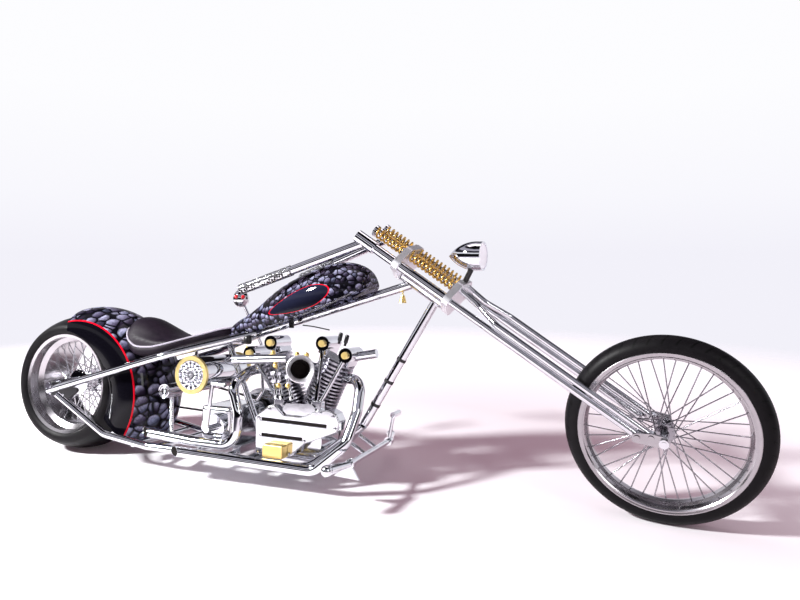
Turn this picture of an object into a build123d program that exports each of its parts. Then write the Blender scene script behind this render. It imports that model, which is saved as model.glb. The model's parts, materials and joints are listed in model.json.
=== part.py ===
from build123d import *
import os
from math import cos, radians, sin, sqrt

# Long-fork chopper motorcycle, millimetres, +X forward, +Y to the rider's left, +Z up.
# Everything is built upright with the wheels straight, the floor at z = 0 and x = 0 below
# the rear axle.  The last block leans it on its side stand and turns the fork to rest.

# Rest pose
LEAN = 6.0
STEER_REST = -12.2

# Wheels
REAR_R = 333.0
REAR_HALF_W = 150.0
REAR_CROWN_R = 240.0
REAR_TREAD_HALF = 137.0
REAR_FLANGE_R = REAR_R - 87.0
REAR_BEAD_R = REAR_FLANGE_R - 10.0
REAR_WELL_R = REAR_BEAD_R - 30.0
FRONT_R = 350.0
FRONT_TYRE_R = 47.5
FRONT_RIM_R = FRONT_R - FRONT_TYRE_R - 16.5
FRONT_SPOKES = 40
REAR_SPOKES = 60
RUN_FIT = 0.05
GAP = 0.3

# Steering head and fork
HEAD_X = 1790.0
HEAD_Z = 835.0
FORK_ANGLE = 33.2
NECK_R = 32.0
NECK_TOP = 118.0
NECK_BOTTOM = -100.0
STEM_R = 18.0
LEG_Y = 100.0
REAR_LEG_X = 50.0
REAR_LEG_R = 14.0
SLEEVE_R = 20.0
RISER_R = 27.0
RISER_BASE = 253.0
RISER_TOP = 345.0
FRONT_LEG_X = 80.0
FRONT_LEG_R = 12.0
SPRING_X = 96.0
SPRING_Y = 46.0
SPRING_R = 19.5
WIRE_R = 4.5
ROD_R = 8.0
UPPER_TREE_Z = 135.0
LOWER_TREE_Z = -118.0
TREE_T = 28.0
ROD_TOP = 300.0
AXLE_X = 92.0
AXLE_R = 9.0
ROCKER_Y = 116.0
ROCKER_T = 12.0
BAR_R = 19.0
GRIP_R = 23.0
GRIP_LENGTH = 250.0
BAR_END = (-416.0, 230.0, 660.0)
LAMP_R = 58.0
LAMP_LENGTH = 135.0
LAMP_X = 245.0
LAMP_Z = -118.0

# Frame
TUBE_R = 19.0
RAIL_R = 17.0
RAIL_Y = 206.0
BACKBONE_SLOPE = 18.0
BACKBONE_REAR = (979.0, 0.0, 615.0)
PLATE_T = 12.0
REAR_AXLE_R = 12.5
AXLE_NUT_R = 17.0

# Fender, revolved about its own centre ahead of the axle
FENDER_C = (105.0, 0.0, REAR_R - 33.0)
FENDER_HALF_W = REAR_HALF_W + 13.0
FENDER_EDGE_R = REAR_R + 12.0
FENDER_CROWN_R = FENDER_EDGE_R + 70.0
FENDER_T = 5.0
FENDER_BULGE_RIGHT = 14.0
FENDER_BULGE_LEFT = 2.0
FENDER_SIDE_R = FENDER_EDGE_R - 140.0
FENDER_FROM = -32.0
FENDER_TO = 102.0
FENDER_MOUTH_R = REAR_R - 43.0

# Engine
CRANK = (1255.0, 0.0, 178.0)
V_FRONT = 22.5
V_REAR = 26.5
CASE_R = 118.0
CASE_HALF_W = 85.0
BARREL_FROM = 126.0
HEAD_FROM = 285.0
HEAD_TO = 378.0
FIN_R = 75.0
BARREL_CORE_R = 57.0
ROCKER_U = 428.0
ROCKER_V = 58.0
ROCKER_BOX_R = 31.0
ROCKER_OUT = 95.0
PIPE_R = 22.0
HORN_FROM, HORN_TO = 1480.0, 1588.0
HORN_Z = 541.0
HORN_R = 19.0
INTAKE_Z = 306.0
INTAKE_Y = -128.0
INTAKE_SHIFT = 28.0

# Drive
GEARBOX_C = (880.0, 0.0, 205.0)
MAIN_SHAFT = (900.0, 240.0)
DRIVE_Y = 168.0
DRIVE_W = 15.0
WHEEL_PULLEY_R = 105.0
SHAFT_PULLEY_R = 42.0
BELT_T = 7.0
PRIMARY_Y = 192.0
PRIMARY_W = 48.0

# Oil tank
OIL_C = (768.0, 0.0, 430.0)
OIL_R = 77.0
OIL_HALF = 160.0

PARTS = {}


def keep(body, name, shape):
    PARTS[name] = (body, shape)
    return shape


def cut(shape, *others):
    for other in others:
        shape = shape - other
    return shape


def tube(points, radius, bend):
    """Round bar along a polyline whose corners are bent to the given radius."""
    path = FilletPolyline(*points, radius=bend) if len(points) > 2 else Line(*points)
    return sweep(Plane(origin=path @ 0, z_dir=path % 0) * Circle(radius), path=path)


def rod(a, b, radius, end_radius=None):
    """Round bar, or cone, from point a to point b."""
    axis = Vector(*b) - Vector(*a)
    plane = Plane(origin=a, z_dir=axis)
    if end_radius is None:
        return plane * extrude(Circle(radius), axis.length)
    return plane * Cone(radius, end_radius, axis.length, align=(Align.CENTER, Align.CENTER, Align.MIN))


def disc(x, z, radius, y0, y1):
    """Cylinder across the bike between y0 and y1."""
    return rod((x, y0, z), (x, y1, z), radius)


def block(x0, x1, y0, y1, z0, z1):
    return Pos((x0 + x1) / 2, (y0 + y1) / 2, (z0 + z1) / 2) * Box(x1 - x0, y1 - y0, z1 - z0)


def side_plate(outline, y0, y1):
    """Flat plate with an outline in x and z, between y0 and y1."""
    face = Plane(origin=(0, y0, 0), x_dir=(1, 0, 0), z_dir=(0, -1, 0)) * make_face(outline)
    return extrude(face, y1 - y0, dir=(0, 1, 0))


def hull_plate(circles, y0, y1):
    """Plate across y whose outline wraps circles given as x, z, radius."""
    edges = [Pos(x, z) * Circle(r).edge() for x, z, r in circles]
    face = Plane(origin=(0, y0, 0), x_dir=(1, 0, 0), z_dir=(0, -1, 0)) * make_hull(edges)
    return extrude(face, y1 - y0, dir=(0, 1, 0))


def spun(outline, angle=360.0, start=0.0):
    """Revolve an outline given as radius, y about the y axis."""
    face = make_face(outline)
    return Rot(0, -start, 0) * revolve(face, Axis.Y, -angle)


def loop(points):
    return Polyline(*points, close=True)


# Floor contact of the leaned bike
lean = radians(LEAN)
turn = radians(-STEER_REST)
fork = radians(FORK_ANGLE)
LIFT = REAR_CROWN_R * (1 - cos(lean))
wheel_tilt = -sin(lean) * cos(turn) + cos(lean) * cos(fork) * sin(turn)
front_need = (FRONT_R - FRONT_TYRE_R) * sqrt(1 - wheel_tilt ** 2) + FRONT_TYRE_R
front_free = (
    cos(lean) * (HEAD_Z + AXLE_X * cos(fork) * cos(turn))
    + sin(lean) * AXLE_X * sin(turn)
    + LIFT
)
AXLE_Z = -(front_free - front_need) / (cos(lean) * sin(fork))

HEAD = Plane(
    origin=(HEAD_X, 0, HEAD_Z),
    x_dir=(sin(fork), 0, cos(fork)),
    z_dir=(-cos(fork), 0, sin(fork)),
)
REAR_WHEEL = Pos(0, 0, REAR_R)
FRONT_WHEEL = Pos(AXLE_X, 0, AXLE_Z)


def floor_z(y):
    """Height of the floor, in the upright frame, at a distance y to the left."""
    return (y * sin(lean) - LIFT) / cos(lean)


# Frame tubes
slope = radians(BACKBONE_SLOPE)
backbone_dir = Vector(cos(slope), 0, sin(slope))
spine_start = Vector(*BACKBONE_REAR)
spine_end = spine_start + backbone_dir * ((HEAD_X - 45 - spine_start.X) / cos(slope))

neck_solid = HEAD * Pos(0, 0, NECK_BOTTOM) * extrude(Circle(NECK_R), NECK_TOP - NECK_BOTTOM)
neck_bore = HEAD * Pos(0, 0, NECK_BOTTOM) * extrude(Circle(STEM_R + RUN_FIT), NECK_TOP - NECK_BOTTOM)
keep("chassis", "frame_neck", neck_solid - neck_bore)

backbone = tube([tuple(spine_start), tuple(spine_end)], TUBE_R, 0)
keep("chassis", "frame_backbone", cut(backbone, neck_solid))
down_bottom = (1530.0, 0.0, 258.0)
down_top = (1836.0, 0.0, 806.0)
downtube = tube([down_bottom, down_top], TUBE_R, 0)
keep("chassis", "frame_downtube", cut(downtube, neck_solid, backbone))

UPPER_PATH = [(1000.0, 24.0, 621.0), (650.0, RAIL_Y, 513.0), (-20.0, RAIL_Y, REAR_R - 25.0)]
LOWER_PATH = [
    (40.0, RAIL_Y, REAR_R - 41.0),
    (330.0, RAIL_Y, 135.0),
    (560.0, 190.0, 100.0),
    (1345.0, 150.0, 85.0),
    (1520.0, 14.0, 248.0),
]
PLATE_OUTLINE = [
    # x, z, radius
    (-10.0, REAR_R - 25.0, 15.0),
    (0.0, REAR_R, AXLE_NUT_R + 1.0),
    (150.0, REAR_R - 13.0, 12.0),
    (104.0, REAR_R - 47.0, 11.0),
]


def mirror_y(points, side):
    return [(x, side * y, z) for x, y, z in points]


upper_rails = {}
lower_rails = {}
plates = []
for side, hand in ((1, "left"), (-1, "right")):
    y0 = RAIL_Y - PLATE_T / 2
    plate = hull_plate(PLATE_OUTLINE, *sorted((side * y0, side * (y0 + PLATE_T))))
    plates.append(cut(plate, disc(0, REAR_R, REAR_AXLE_R, -400, 400)))
    upper_rails[hand] = tube(mirror_y(UPPER_PATH, side), RAIL_R, 260)
    lower_rails[hand] = tube(mirror_y(LOWER_PATH, side), RAIL_R, 110)
    axle_room = disc(0, REAR_R, AXLE_NUT_R + 2, -400, 400)
    keep("chassis", "frame_upper_rail_" + hand, cut(upper_rails[hand], backbone, plate, axle_room))
    keep(
        "chassis",
        "frame_lower_rail_" + hand,
        cut(lower_rails[hand], downtube, plate, axle_room, upper_rails[hand]),
    )
PARTS["frame_upper_rail_left"] = (
    "chassis",
    cut(PARTS["frame_upper_rail_left"][1], upper_rails["right"]),
)
PARTS["frame_lower_rail_left"] = (
    "chassis",
    cut(PARTS["frame_lower_rail_left"][1], lower_rails["right"]),
)
keep("chassis", "axle_plates", Compound(children=plates))


def rail_at(x):
    """Centre y and z of a lower rail on its long bottom run."""
    share = (x - LOWER_PATH[2][0]) / (LOWER_PATH[3][0] - LOWER_PATH[2][0])
    y = LOWER_PATH[2][1] + share * (LOWER_PATH[3][1] - LOWER_PATH[2][1])
    z = LOWER_PATH[2][2] + share * (LOWER_PATH[3][2] - LOWER_PATH[2][2])
    return y, z


# Fender shell
edge, crown, half = FENDER_EDGE_R, FENDER_CROWN_R, FENDER_HALF_W


def arch(edge_r, crown_r, half_w, floor_r):
    """Fender section as radius, y: an arched crown, bulged sides, flatter on the left where the belt runs."""
    waist = (edge_r + FENDER_SIDE_R) / 2
    right = (waist, -half_w - FENDER_BULGE_RIGHT)
    left = (waist, half_w + FENDER_BULGE_LEFT)
    lines = Polyline((FENDER_SIDE_R, half_w), (floor_r, half_w), (floor_r, -half_w), (FENDER_SIDE_R, -half_w))
    lines += ThreePointArc((FENDER_SIDE_R, -half_w), right, (edge_r, -half_w))
    lines += ThreePointArc((edge_r, -half_w), (crown_r, 0), (edge_r, half_w))
    return lines + ThreePointArc((edge_r, half_w), left, (FENDER_SIDE_R, half_w))


sweep_angle = FENDER_TO - FENDER_FROM
fender_place = Pos(*FENDER_C)
fender_outer = fender_place * spun(arch(edge, crown, half, 60), sweep_angle, FENDER_FROM)
fender_inner = fender_place * spun(
    arch(edge - FENDER_T, crown - FENDER_T, half - FENDER_T, 40), sweep_angle + 4, FENDER_FROM - 2
)
fender_mouth = disc(10, REAR_R - 28, FENDER_MOUTH_R, -400, 400)
fender = cut(fender_outer, fender_inner, fender_mouth)
keep("chassis", "rear_fender", fender)

# Cross tubes and the seat post
ENGINE_FOOT_X = CRANK[0] - 150.0
POST_FOOT_X = ENGINE_FOOT_X - 43.0
POST_TOP_X = 836.0
CROSS_X = (484.0, 610.0, 800.0, 960.0, POST_FOOT_X, ENGINE_FOOT_X, 1385.0)
cross_solids = []
for x in CROSS_X:
    y, z = rail_at(min(x, LOWER_PATH[3][0]))
    if x > LOWER_PATH[3][0]:
        share = (x - LOWER_PATH[3][0]) / (LOWER_PATH[4][0] - LOWER_PATH[3][0])
        y = LOWER_PATH[3][1] + share * (LOWER_PATH[4][1] - LOWER_PATH[3][1])
        z = LOWER_PATH[3][2] + share * (LOWER_PATH[4][2] - LOWER_PATH[3][2])
    bar = disc(x, z, 14, -y, y)
    cross_solids.append(cut(bar, lower_rails["left"], lower_rails["right"], fender_outer))
post_z = rail_at(POST_FOOT_X)[1]
top_share = (POST_TOP_X - UPPER_PATH[1][0]) / (UPPER_PATH[0][0] - UPPER_PATH[1][0])
top_y = RAIL_Y + top_share * (UPPER_PATH[0][1] - RAIL_Y)
top_z = UPPER_PATH[1][2] + top_share * (UPPER_PATH[0][2] - UPPER_PATH[1][2])
top_bar = cut(disc(POST_TOP_X, top_z, 12, -top_y, top_y), upper_rails["left"], upper_rails["right"])
seat_post = rod((POST_TOP_X, 0, top_z), (POST_FOOT_X, 0, post_z), 15)
post_bar = disc(POST_FOOT_X, post_z, 14, -200, 200)
seat_post = cut(seat_post, post_bar) + top_bar
braces = [bar for bar, x in zip(cross_solids, CROSS_X) if x != POST_FOOT_X]
braces.append(cross_solids[CROSS_X.index(POST_FOOT_X)] + seat_post)
for side, hand in ((1, "left"), (-1, "right")):
    stay = disc(330, 421, 9, *sorted((side * half, side * RAIL_Y)))
    braces.append(cut(stay, upper_rails[hand], fender_outer))
keep("chassis", "frame_braces", Compound(children=braces))

# Rear wheel, about its own centre
sag = REAR_CROWN_R - sqrt(REAR_CROWN_R ** 2 - REAR_TREAD_HALF ** 2)
shoulder = REAR_R - sag
tyre_edge = ThreePointArc((shoulder, -REAR_TREAD_HALF), (REAR_R, 0), (shoulder, REAR_TREAD_HALF))
tyre_edge += ThreePointArc(
    (shoulder, REAR_TREAD_HALF), ((shoulder + REAR_BEAD_R) / 2, REAR_HALF_W), (REAR_BEAD_R, 128)
)
tyre_edge += Line((REAR_BEAD_R, 128), (REAR_BEAD_R, -128))
tyre_edge += ThreePointArc(
    (REAR_BEAD_R, -128), ((shoulder + REAR_BEAD_R) / 2, -REAR_HALF_W), (shoulder, -REAR_TREAD_HALF)
)
RIM_SECTION = [
    (REAR_FLANGE_R, 140),
    (REAR_FLANGE_R, 132),
    (REAR_BEAD_R, 128),
    (REAR_BEAD_R, 96),
    (REAR_WELL_R + 10, 84),
    (REAR_WELL_R + 10, -84),
    (REAR_BEAD_R, -96),
    (REAR_BEAD_R, -128),
    (REAR_FLANGE_R, -132),
    (REAR_FLANGE_R, -140),
    (REAR_BEAD_R - 8, -134),
    (REAR_BEAD_R - 8, -92),
    (REAR_WELL_R, -78),
    (REAR_WELL_R, 78),
    (REAR_BEAD_R - 8, 92),
    (REAR_BEAD_R - 8, 134),
]
rear_rim = spun(loop(RIM_SECTION))
rear_tyre = cut(spun(tyre_edge), rear_rim)
HUB_SECTION = [
    (REAR_AXLE_R + RUN_FIT, -178),
    (26, -178),
    (26, -60),
    (60, -56),
    (60, -46),
    (40, -40),
    (40, 40),
    (60, 46),
    (60, 56),
    (40, 62),
    (40, DRIVE_Y),
    (58, DRIVE_Y),
    (58, DRIVE_Y + DRIVE_W),
    (REAR_AXLE_R + RUN_FIT, DRIVE_Y + DRIVE_W),
]
rear_hub = spun(loop(HUB_SECTION))
PULLEY_SECTION = [
    (58, DRIVE_Y + 4),
    (WHEEL_PULLEY_R - 12, DRIVE_Y + 4),
    (WHEEL_PULLEY_R - 12, DRIVE_Y),
    (WHEEL_PULLEY_R, DRIVE_Y),
    (WHEEL_PULLEY_R, DRIVE_Y + DRIVE_W),
    (WHEEL_PULLEY_R - 12, DRIVE_Y + DRIVE_W),
    (WHEEL_PULLEY_R - 12, DRIVE_Y + 11),
    (58, DRIVE_Y + 11),
]
rear_pulley = spun(loop(PULLEY_SECTION))


def spokes(count, hub_r, hub_y, rim_r, rim_y, wire_r, lead):
    """Crossed wires from both hub flanges out to the rim; lead is the slant in degrees."""
    wires = []
    for i in range(count):
        side = 1 if i % 2 else -1
        hand = 1 if (i // 2) % 2 else -1
        out = radians(360.0 * i / count)
        root = out + hand * radians(lead)
        offset = hand * wire_r * 1.4
        a = (hub_r * cos(root), side * (hub_y + offset), hub_r * sin(root))
        b = (rim_r * cos(out), side * rim_y, rim_r * sin(out))
        wires.append(rod(a, b, wire_r))
    return wires


rear_wires = spokes(REAR_SPOKES, 52, 51, REAR_WELL_R + 4, 26, 2.6, 52)
rear_core = cut(rear_hub.fuse(*rear_wires), rear_rim)
for name, shape in (
    ("rear_tyre", rear_tyre),
    ("rear_rim", rear_rim),
    ("rear_hub_spokes", rear_core),
    ("rear_pulley", rear_pulley),
):
    keep("rear_wheel", name, REAR_WHEEL * shape)

plate_in = RAIL_Y - PLATE_T / 2
rear_axle = disc(0, REAR_R, REAR_AXLE_R, -RAIL_Y - 22, RAIL_Y + 22)
rear_axle += disc(0, REAR_R, AXLE_NUT_R, DRIVE_Y + DRIVE_W + GAP, plate_in)
rear_axle += disc(0, REAR_R, AXLE_NUT_R, -plate_in, -178 - GAP)
for side in (1, -1):
    nut = disc(0, REAR_R, AXLE_NUT_R, *sorted((side * (RAIL_Y + PLATE_T / 2), side * (RAIL_Y + 20))))
    rear_axle += nut
keep("chassis", "rear_axle", rear_axle)

# Front wheel, about its own centre
tyre_c = FRONT_R - FRONT_TYRE_R
bead = FRONT_RIM_R - 5
half_bead = sqrt(FRONT_TYRE_R ** 2 - (tyre_c - bead) ** 2)
front_edge = ThreePointArc((bead, -half_bead), (FRONT_R, 0), (bead, half_bead))
front_edge += Line((bead, half_bead), (bead, -half_bead))
FRONT_RIM_SECTION = [
    (FRONT_RIM_R, 44),
    (FRONT_RIM_R, 38),
    (bead, 34),
    (bead, 22),
    (bead - 10, 14),
    (bead - 10, -14),
    (bead, -22),
    (bead, -34),
    (FRONT_RIM_R, -38),
    (FRONT_RIM_R, -44),
    (bead - 6, -40),
    (bead - 8, -24),
    (bead - 16, -12),
    (bead - 16, 12),
    (bead - 8, 24),
    (bead - 6, 40),
]
front_rim = spun(loop(FRONT_RIM_SECTION))
front_tyre = cut(spun(front_edge), front_rim)
FRONT_HUB_SECTION = [
    (AXLE_R + RUN_FIT, -62),
    (16, -62),
    (16, -38),
    (34, -36),
    (34, -30),
    (20, -26),
    (20, 26),
    (34, 30),
    (34, 36),
    (16, 38),
    (16, 62),
    (AXLE_R + RUN_FIT, 62),
]
front_wires = spokes(FRONT_SPOKES, 29, 33, bead - 14, 5, 2.2, 62)
front_core = cut(spun(loop(FRONT_HUB_SECTION)).fuse(*front_wires), front_rim)
for name, shape in (
    ("front_tyre", front_tyre),
    ("front_rim", front_rim),
    ("front_hub_spokes", front_core),
):
    keep("front_wheel", name, HEAD * FRONT_WHEEL * shape)

# Fork, in the frame of the steering head: x forward, z up along the steering axis
pivot_rear = (AXLE_X - 42, AXLE_Z + 76)
pivot_mid = (AXLE_X - 14, AXLE_Z + 40)
rear_legs = []
front_legs = []
springs = []
rockers = []
bars = []
grips = []
upper_from = UPPER_TREE_Z - TREE_T / 2
upper_to = UPPER_TREE_Z + TREE_T / 2
lower_from = LOWER_TREE_Z - TREE_T / 2
lower_to = LOWER_TREE_Z + TREE_T / 2


def coil(z0, z1, turns):
    """One spring standing between two seats."""
    rise = z1 - z0 - 2 * WIRE_R - 2 * GAP
    path = Pos(0, 0, z0 + WIRE_R + GAP) * Helix(rise / turns, rise, SPRING_R)
    return sweep(Plane(origin=path @ 0, z_dir=path % 0) * Circle(WIRE_R), path=path, is_frenet=True)


for side in (1, -1):
    y = side * LEG_Y
    leg = rod((REAR_LEG_X, y, pivot_rear[1]), (REAR_LEG_X, y, lower_from), REAR_LEG_R)
    leg += rod((REAR_LEG_X, y, lower_from), (REAR_LEG_X, y, RISER_BASE), SLEEVE_R)
    leg += rod((REAR_LEG_X, y, RISER_BASE), (REAR_LEG_X, y, RISER_TOP), RISER_R)
    leg += disc(pivot_rear[0], pivot_rear[1], 15, y - 14, y + 14)
    pin_y = sorted((side * (LEG_Y - 18), side * (ROCKER_Y + ROCKER_T + 6)))
    pins = [disc(p[0], p[1], 7, *pin_y) for p in (pivot_rear, pivot_mid)]
    rear_legs.append(cut(leg, *pins))
    path = [
        (SPRING_X, side * SPRING_Y, lower_from),
        (FRONT_LEG_X + 6, side * SPRING_Y, -225),
        (FRONT_LEG_X, y, -335),
        (pivot_mid[0], y, pivot_mid[1]),
    ]
    leg = tube(path, FRONT_LEG_R, 60)
    leg += disc(pivot_mid[0], pivot_mid[1], 16, y - 14, y + 14)
    leg += rod((SPRING_X, side * SPRING_Y, lower_from), (SPRING_X, side * SPRING_Y, ROD_TOP + 14), ROD_R)
    leg += rod((SPRING_X, side * SPRING_Y, ROD_TOP), (SPRING_X, side * SPRING_Y, ROD_TOP + 10), 25)
    front_legs.append(cut(leg, *pins))
    for z0, z1, turns in ((upper_to, ROD_TOP, 7), (lower_to, upper_from, 11)):
        springs.append(Pos(SPRING_X, side * SPRING_Y, 0) * coil(z0, z1, turns))
    faces = sorted((side * ROCKER_Y, side * (ROCKER_Y + ROCKER_T)))
    rocker = hull_plate([(*pivot_rear, 17), (*pivot_mid, 17), (AXLE_X, AXLE_Z, 20)], *faces)
    for pin, p in zip(pins, (pivot_rear, pivot_mid)):
        heads = sorted((side * (ROCKER_Y + ROCKER_T), side * (ROCKER_Y + ROCKER_T + 6)))
        rocker = rocker + pin + disc(p[0], p[1], 11, *heads)
    rockers.append(cut(rocker, disc(AXLE_X, AXLE_Z, AXLE_R, -300, 300)))
    bar_start = Vector(REAR_LEG_X, y, (RISER_BASE + RISER_TOP) / 2)
    bar_end = Vector(BAR_END[0], side * BAR_END[1], BAR_END[2])
    along = (bar_end - bar_start).normalized()
    bar = rod(tuple(bar_start), tuple(bar_end), BAR_R)
    riser = rod((REAR_LEG_X, y, RISER_BASE), (REAR_LEG_X, y, RISER_TOP), RISER_R)
    bars.append(cut(bar, riser))
    sleeve = rod(tuple(bar_end - along * GRIP_LENGTH), tuple(bar_end + along * 6), GRIP_R)
    grips.append(cut(sleeve, bar))

tree_bosses = [
    (0.0, 0.0, 36.0),
    (REAR_LEG_X, LEG_Y, 28.0),
    (REAR_LEG_X, -LEG_Y, 28.0),
    (SPRING_X, SPRING_Y, 27.0),
    (SPRING_X, -SPRING_Y, 27.0),
]
tree_face = make_hull([Pos(x, y) * Circle(r).edge() for x, y, r in tree_bosses])
trees = Pos(0, 0, upper_from) * extrude(tree_face, TREE_T)
trees += Pos(0, 0, lower_from) * extrude(tree_face, TREE_T)
trees += rod((0, 0, lower_to), (0, 0, upper_from), STEM_R)
trees += rod((0, 0, upper_to), (0, 0, upper_to + 16), 24)
trees = cut(trees, *rear_legs, *front_legs)

front_axle = disc(AXLE_X, AXLE_Z, AXLE_R, -ROCKER_Y - ROCKER_T - 14, ROCKER_Y + ROCKER_T + 14)
for side in (1, -1):
    spacer = sorted((side * (62 + GAP), side * ROCKER_Y))
    nut = sorted((side * (ROCKER_Y + ROCKER_T), side * (ROCKER_Y + ROCKER_T + 12)))
    front_axle += disc(AXLE_X, AXLE_Z, 14, *spacer)
    front_axle += disc(AXLE_X, AXLE_Z, 16, *nut)

lamp = Plane(origin=(LAMP_X, 0, LAMP_Z), x_dir=(0, 1, 0), z_dir=(sin(fork), 0, -cos(fork)))
tail = -LAMP_LENGTH
shell_edge = Line((0, tail), (0, -6)) + Line((0, -6), (LAMP_R, -6))
shell_edge += ThreePointArc((LAMP_R, -6), (LAMP_R * 0.78, tail * 0.58), (0, tail))
lamp_shell = revolve(Plane.XZ * make_face(shell_edge), Axis.Z)
lamp_shell += extrude(Pos(0, 0, -6) * Circle(LAMP_R), 6)
lamp_lens = Pos(0, 0, GAP) * extrude(Circle(LAMP_R - 5), 8)
lamp_lens = fillet(lamp_lens.faces().sort_by(Axis.Z)[-1].edges(), 5)
lamp_rim = extrude(Circle(LAMP_R), 10) - extrude(Circle(LAMP_R - 5), 10)
lamp_solid = lamp * (lamp_shell + lamp_rim)
lamp_post = rod((SPRING_X + 22, 0, LOWER_TREE_Z), (LAMP_X - 42, 0, LAMP_Z + 8), 11)
lamp_post = cut(lamp_post, trees, lamp * lamp_shell)

for name, shape in (
    ("fork_trees", trees),
    ("fork_rear_legs", Compound(children=rear_legs)),
    ("fork_front_legs", Compound(children=front_legs)),
    ("fork_springs", Compound(children=springs)),
    ("fork_rockers", Compound(children=rockers)),
    ("front_axle", front_axle),
    ("headlight_shell", lamp_solid),
    ("headlight_lens", lamp * lamp_lens),
    ("headlight_bracket", lamp_post),
    ("handlebars", Compound(children=bars)),
    ("grips", Compound(children=grips)),
):
    keep("steering", name, HEAD * shape)

# Fuel tank, lofted along the backbone
TANK_TAIL = -128.0
TANK_SECTIONS = [
    # along, half width, bottom, top
    (0.0, 14.0, 24.0, 48.0),
    (110.0, 48.0, 8.0, 92.0),
    (250.0, 88.0, 6.0, 138.0),
    (420.0, 134.0, 8.0, 182.0),
    (560.0, 148.0, 14.0, 191.0),
    (670.0, 130.0, 24.0, 172.0),
    (728.0, 92.0, 38.0, 136.0),
    (752.0, 48.0, 56.0, 104.0),
]
spine = Plane(origin=spine_start, x_dir=(0, 1, 0), z_dir=backbone_dir)
faces = []
for along, wide, low, top in TANK_SECTIONS:
    tall = top - low
    base = sqrt(max(2 * tall * wide - tall ** 2, 4.0))
    outline = ThreePointArc((-base, low), (0, top), (base, low)) + Line((base, low), (-base, low))
    faces.append(Pos(0, 0, TANK_TAIL + along) * make_face(outline))
tank = spine * loft(faces)
tank = cut(tank, backbone, neck_solid, upper_rails["left"], upper_rails["right"])
keep("chassis", "fuel_tank", tank)
CAP_ALONG = 560.0
CAP_SUNK, CAP_PROUD = 15.0, 4.0
CAP_R = 30.0
for behind, ahead in zip(TANK_SECTIONS, TANK_SECTIONS[1:]):
    if behind[0] <= CAP_ALONG:
        share = (CAP_ALONG - behind[0]) / (ahead[0] - behind[0])
        tank_top = behind[3] + share * (ahead[3] - behind[3])
cap_base = spine.from_local_coords((0, tank_top - CAP_SUNK, TANK_TAIL + CAP_ALONG))
cap_crown = spine.from_local_coords((0, tank_top + CAP_PROUD, TANK_TAIL + CAP_ALONG))
keep("chassis", "fuel_cap", cut(rod(tuple(cap_base), tuple(cap_crown), CAP_R), tank))

# Seat: one pad, from the narrow nose on the rails to the dome that wraps the fender
SEAT_SECTIONS = [
    # x, half width, skirt, seam, crest
    (328.0, 62.0, 600.0, 632.0, 664.0),
    (364.0, 126.0, 540.0, 578.0, 679.0),
    (440.0, 140.0, 486.0, 538.0, 667.0),
    (510.0, 141.0, 494.0, 540.0, 634.0),
    (566.0, 138.0, 512.0, 551.0, 606.0),
    (632.0, 120.0, 540.0, 571.0, 590.0),
    (695.0, 92.0, 560.0, 592.0, 600.0),
    (755.0, 70.0, 578.0, 611.0, 616.0),
    (830.0, 42.0, 600.0, 636.0, 641.0),
    (862.0, 22.0, 612.0, 640.0, 643.0),
]
pads = []
for x, wide, skirt, seam, crest in SEAT_SECTIONS:
    outline = ThreePointArc((wide, seam), (0, crest), (-wide, seam))
    outline += Polyline((-wide, seam), (-wide, skirt), (wide, skirt), (wide, seam))
    pads.append(Plane(origin=(x, 0, 0), x_dir=(0, 1, 0), z_dir=(1, 0, 0)) * make_face(outline))
fender_core = fender_place * spun(arch(edge, crown, half, 60), 120, -20)
seat = cut(loft(pads), fender_outer, fender_core, tank, upper_rails["left"], upper_rails["right"], top_bar)
keep("chassis", "seat", seat)

# Engine
cx, _, cz = CRANK


def cylinder_plane(side):
    """Frame of one cylinder: z up its bore, x forward, y across."""
    vee = radians(V_FRONT if side > 0 else V_REAR)
    up = (side * sin(vee), 0, cos(vee))
    ahead = (cos(vee), 0, -side * sin(vee))
    return Plane(origin=CRANK, x_dir=ahead, z_dir=up)


def finned(z0, z1, count, core, fin):
    """Outline of a finned round body as radius, height."""
    step = (z1 - z0) / count
    points = [(0, z0), (core, z0)]
    for i in range(count):
        low = z0 + i * step + step * 0.35
        points += [(core, low), (fin, low), (fin, low + step * 0.38), (core, low + step * 0.38)]
    points += [(core, z1), (0, z1)]
    return loop(points)


case = disc(cx, cz, CASE_R, -CASE_HALF_W, CASE_HALF_W)
case += block(cx - 165, cx + 130, -62, 62, cz - 75, cz - 20)
case += disc(cx, cz, 50, CASE_HALF_W, PRIMARY_Y)
barrels = []
heads = []
boxes = []
nuts = []
for side in (1, -1):
    place = cylinder_plane(side)
    keep_side = block(*sorted((cx, cx + side * 600)), -200, 200, 0, 900)
    case += place * rod((0, 0, 60), (0, 0, BARREL_FROM), 64)
    barrel_edge = finned(BARREL_FROM, HEAD_FROM, 10, BARREL_CORE_R, FIN_R)
    head_edge = finned(HEAD_FROM, HEAD_TO, 5, BARREL_CORE_R + 5, FIN_R + 4)
    barrels.append((place * revolve(Plane.XZ * make_face(barrel_edge), Axis.Z)) & keep_side)
    heads.append(place * revolve(Plane.XZ * make_face(head_edge), Axis.Z))
    for v in (ROCKER_V, -ROCKER_V):
        box = rod((v, -ROCKER_OUT, ROCKER_U), (v, 34, ROCKER_U), ROCKER_BOX_R)
        box += Pos(v * 0.9, -14, (HEAD_TO + ROCKER_U) / 2) * Box(46, 96, ROCKER_U - HEAD_TO)
        boxes.append(place * box)
        if side > 0 and v > 0:
            horn = rod((HORN_FROM, -30, HORN_Z), (HORN_TO, -30, HORN_Z + 22), HORN_R)
            boxes[-1] = boxes[-1] + cut(horn, boxes[-1])
        nuts.append(place * rod((v, -ROCKER_OUT, ROCKER_U), (v, -ROCKER_OUT - 10, ROCKER_U), 15))
case = cut(case, disc(ENGINE_FOOT_X, rail_at(ENGINE_FOOT_X)[1], 14, -200, 200))
cross_front = cross_solids[-1]
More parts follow.
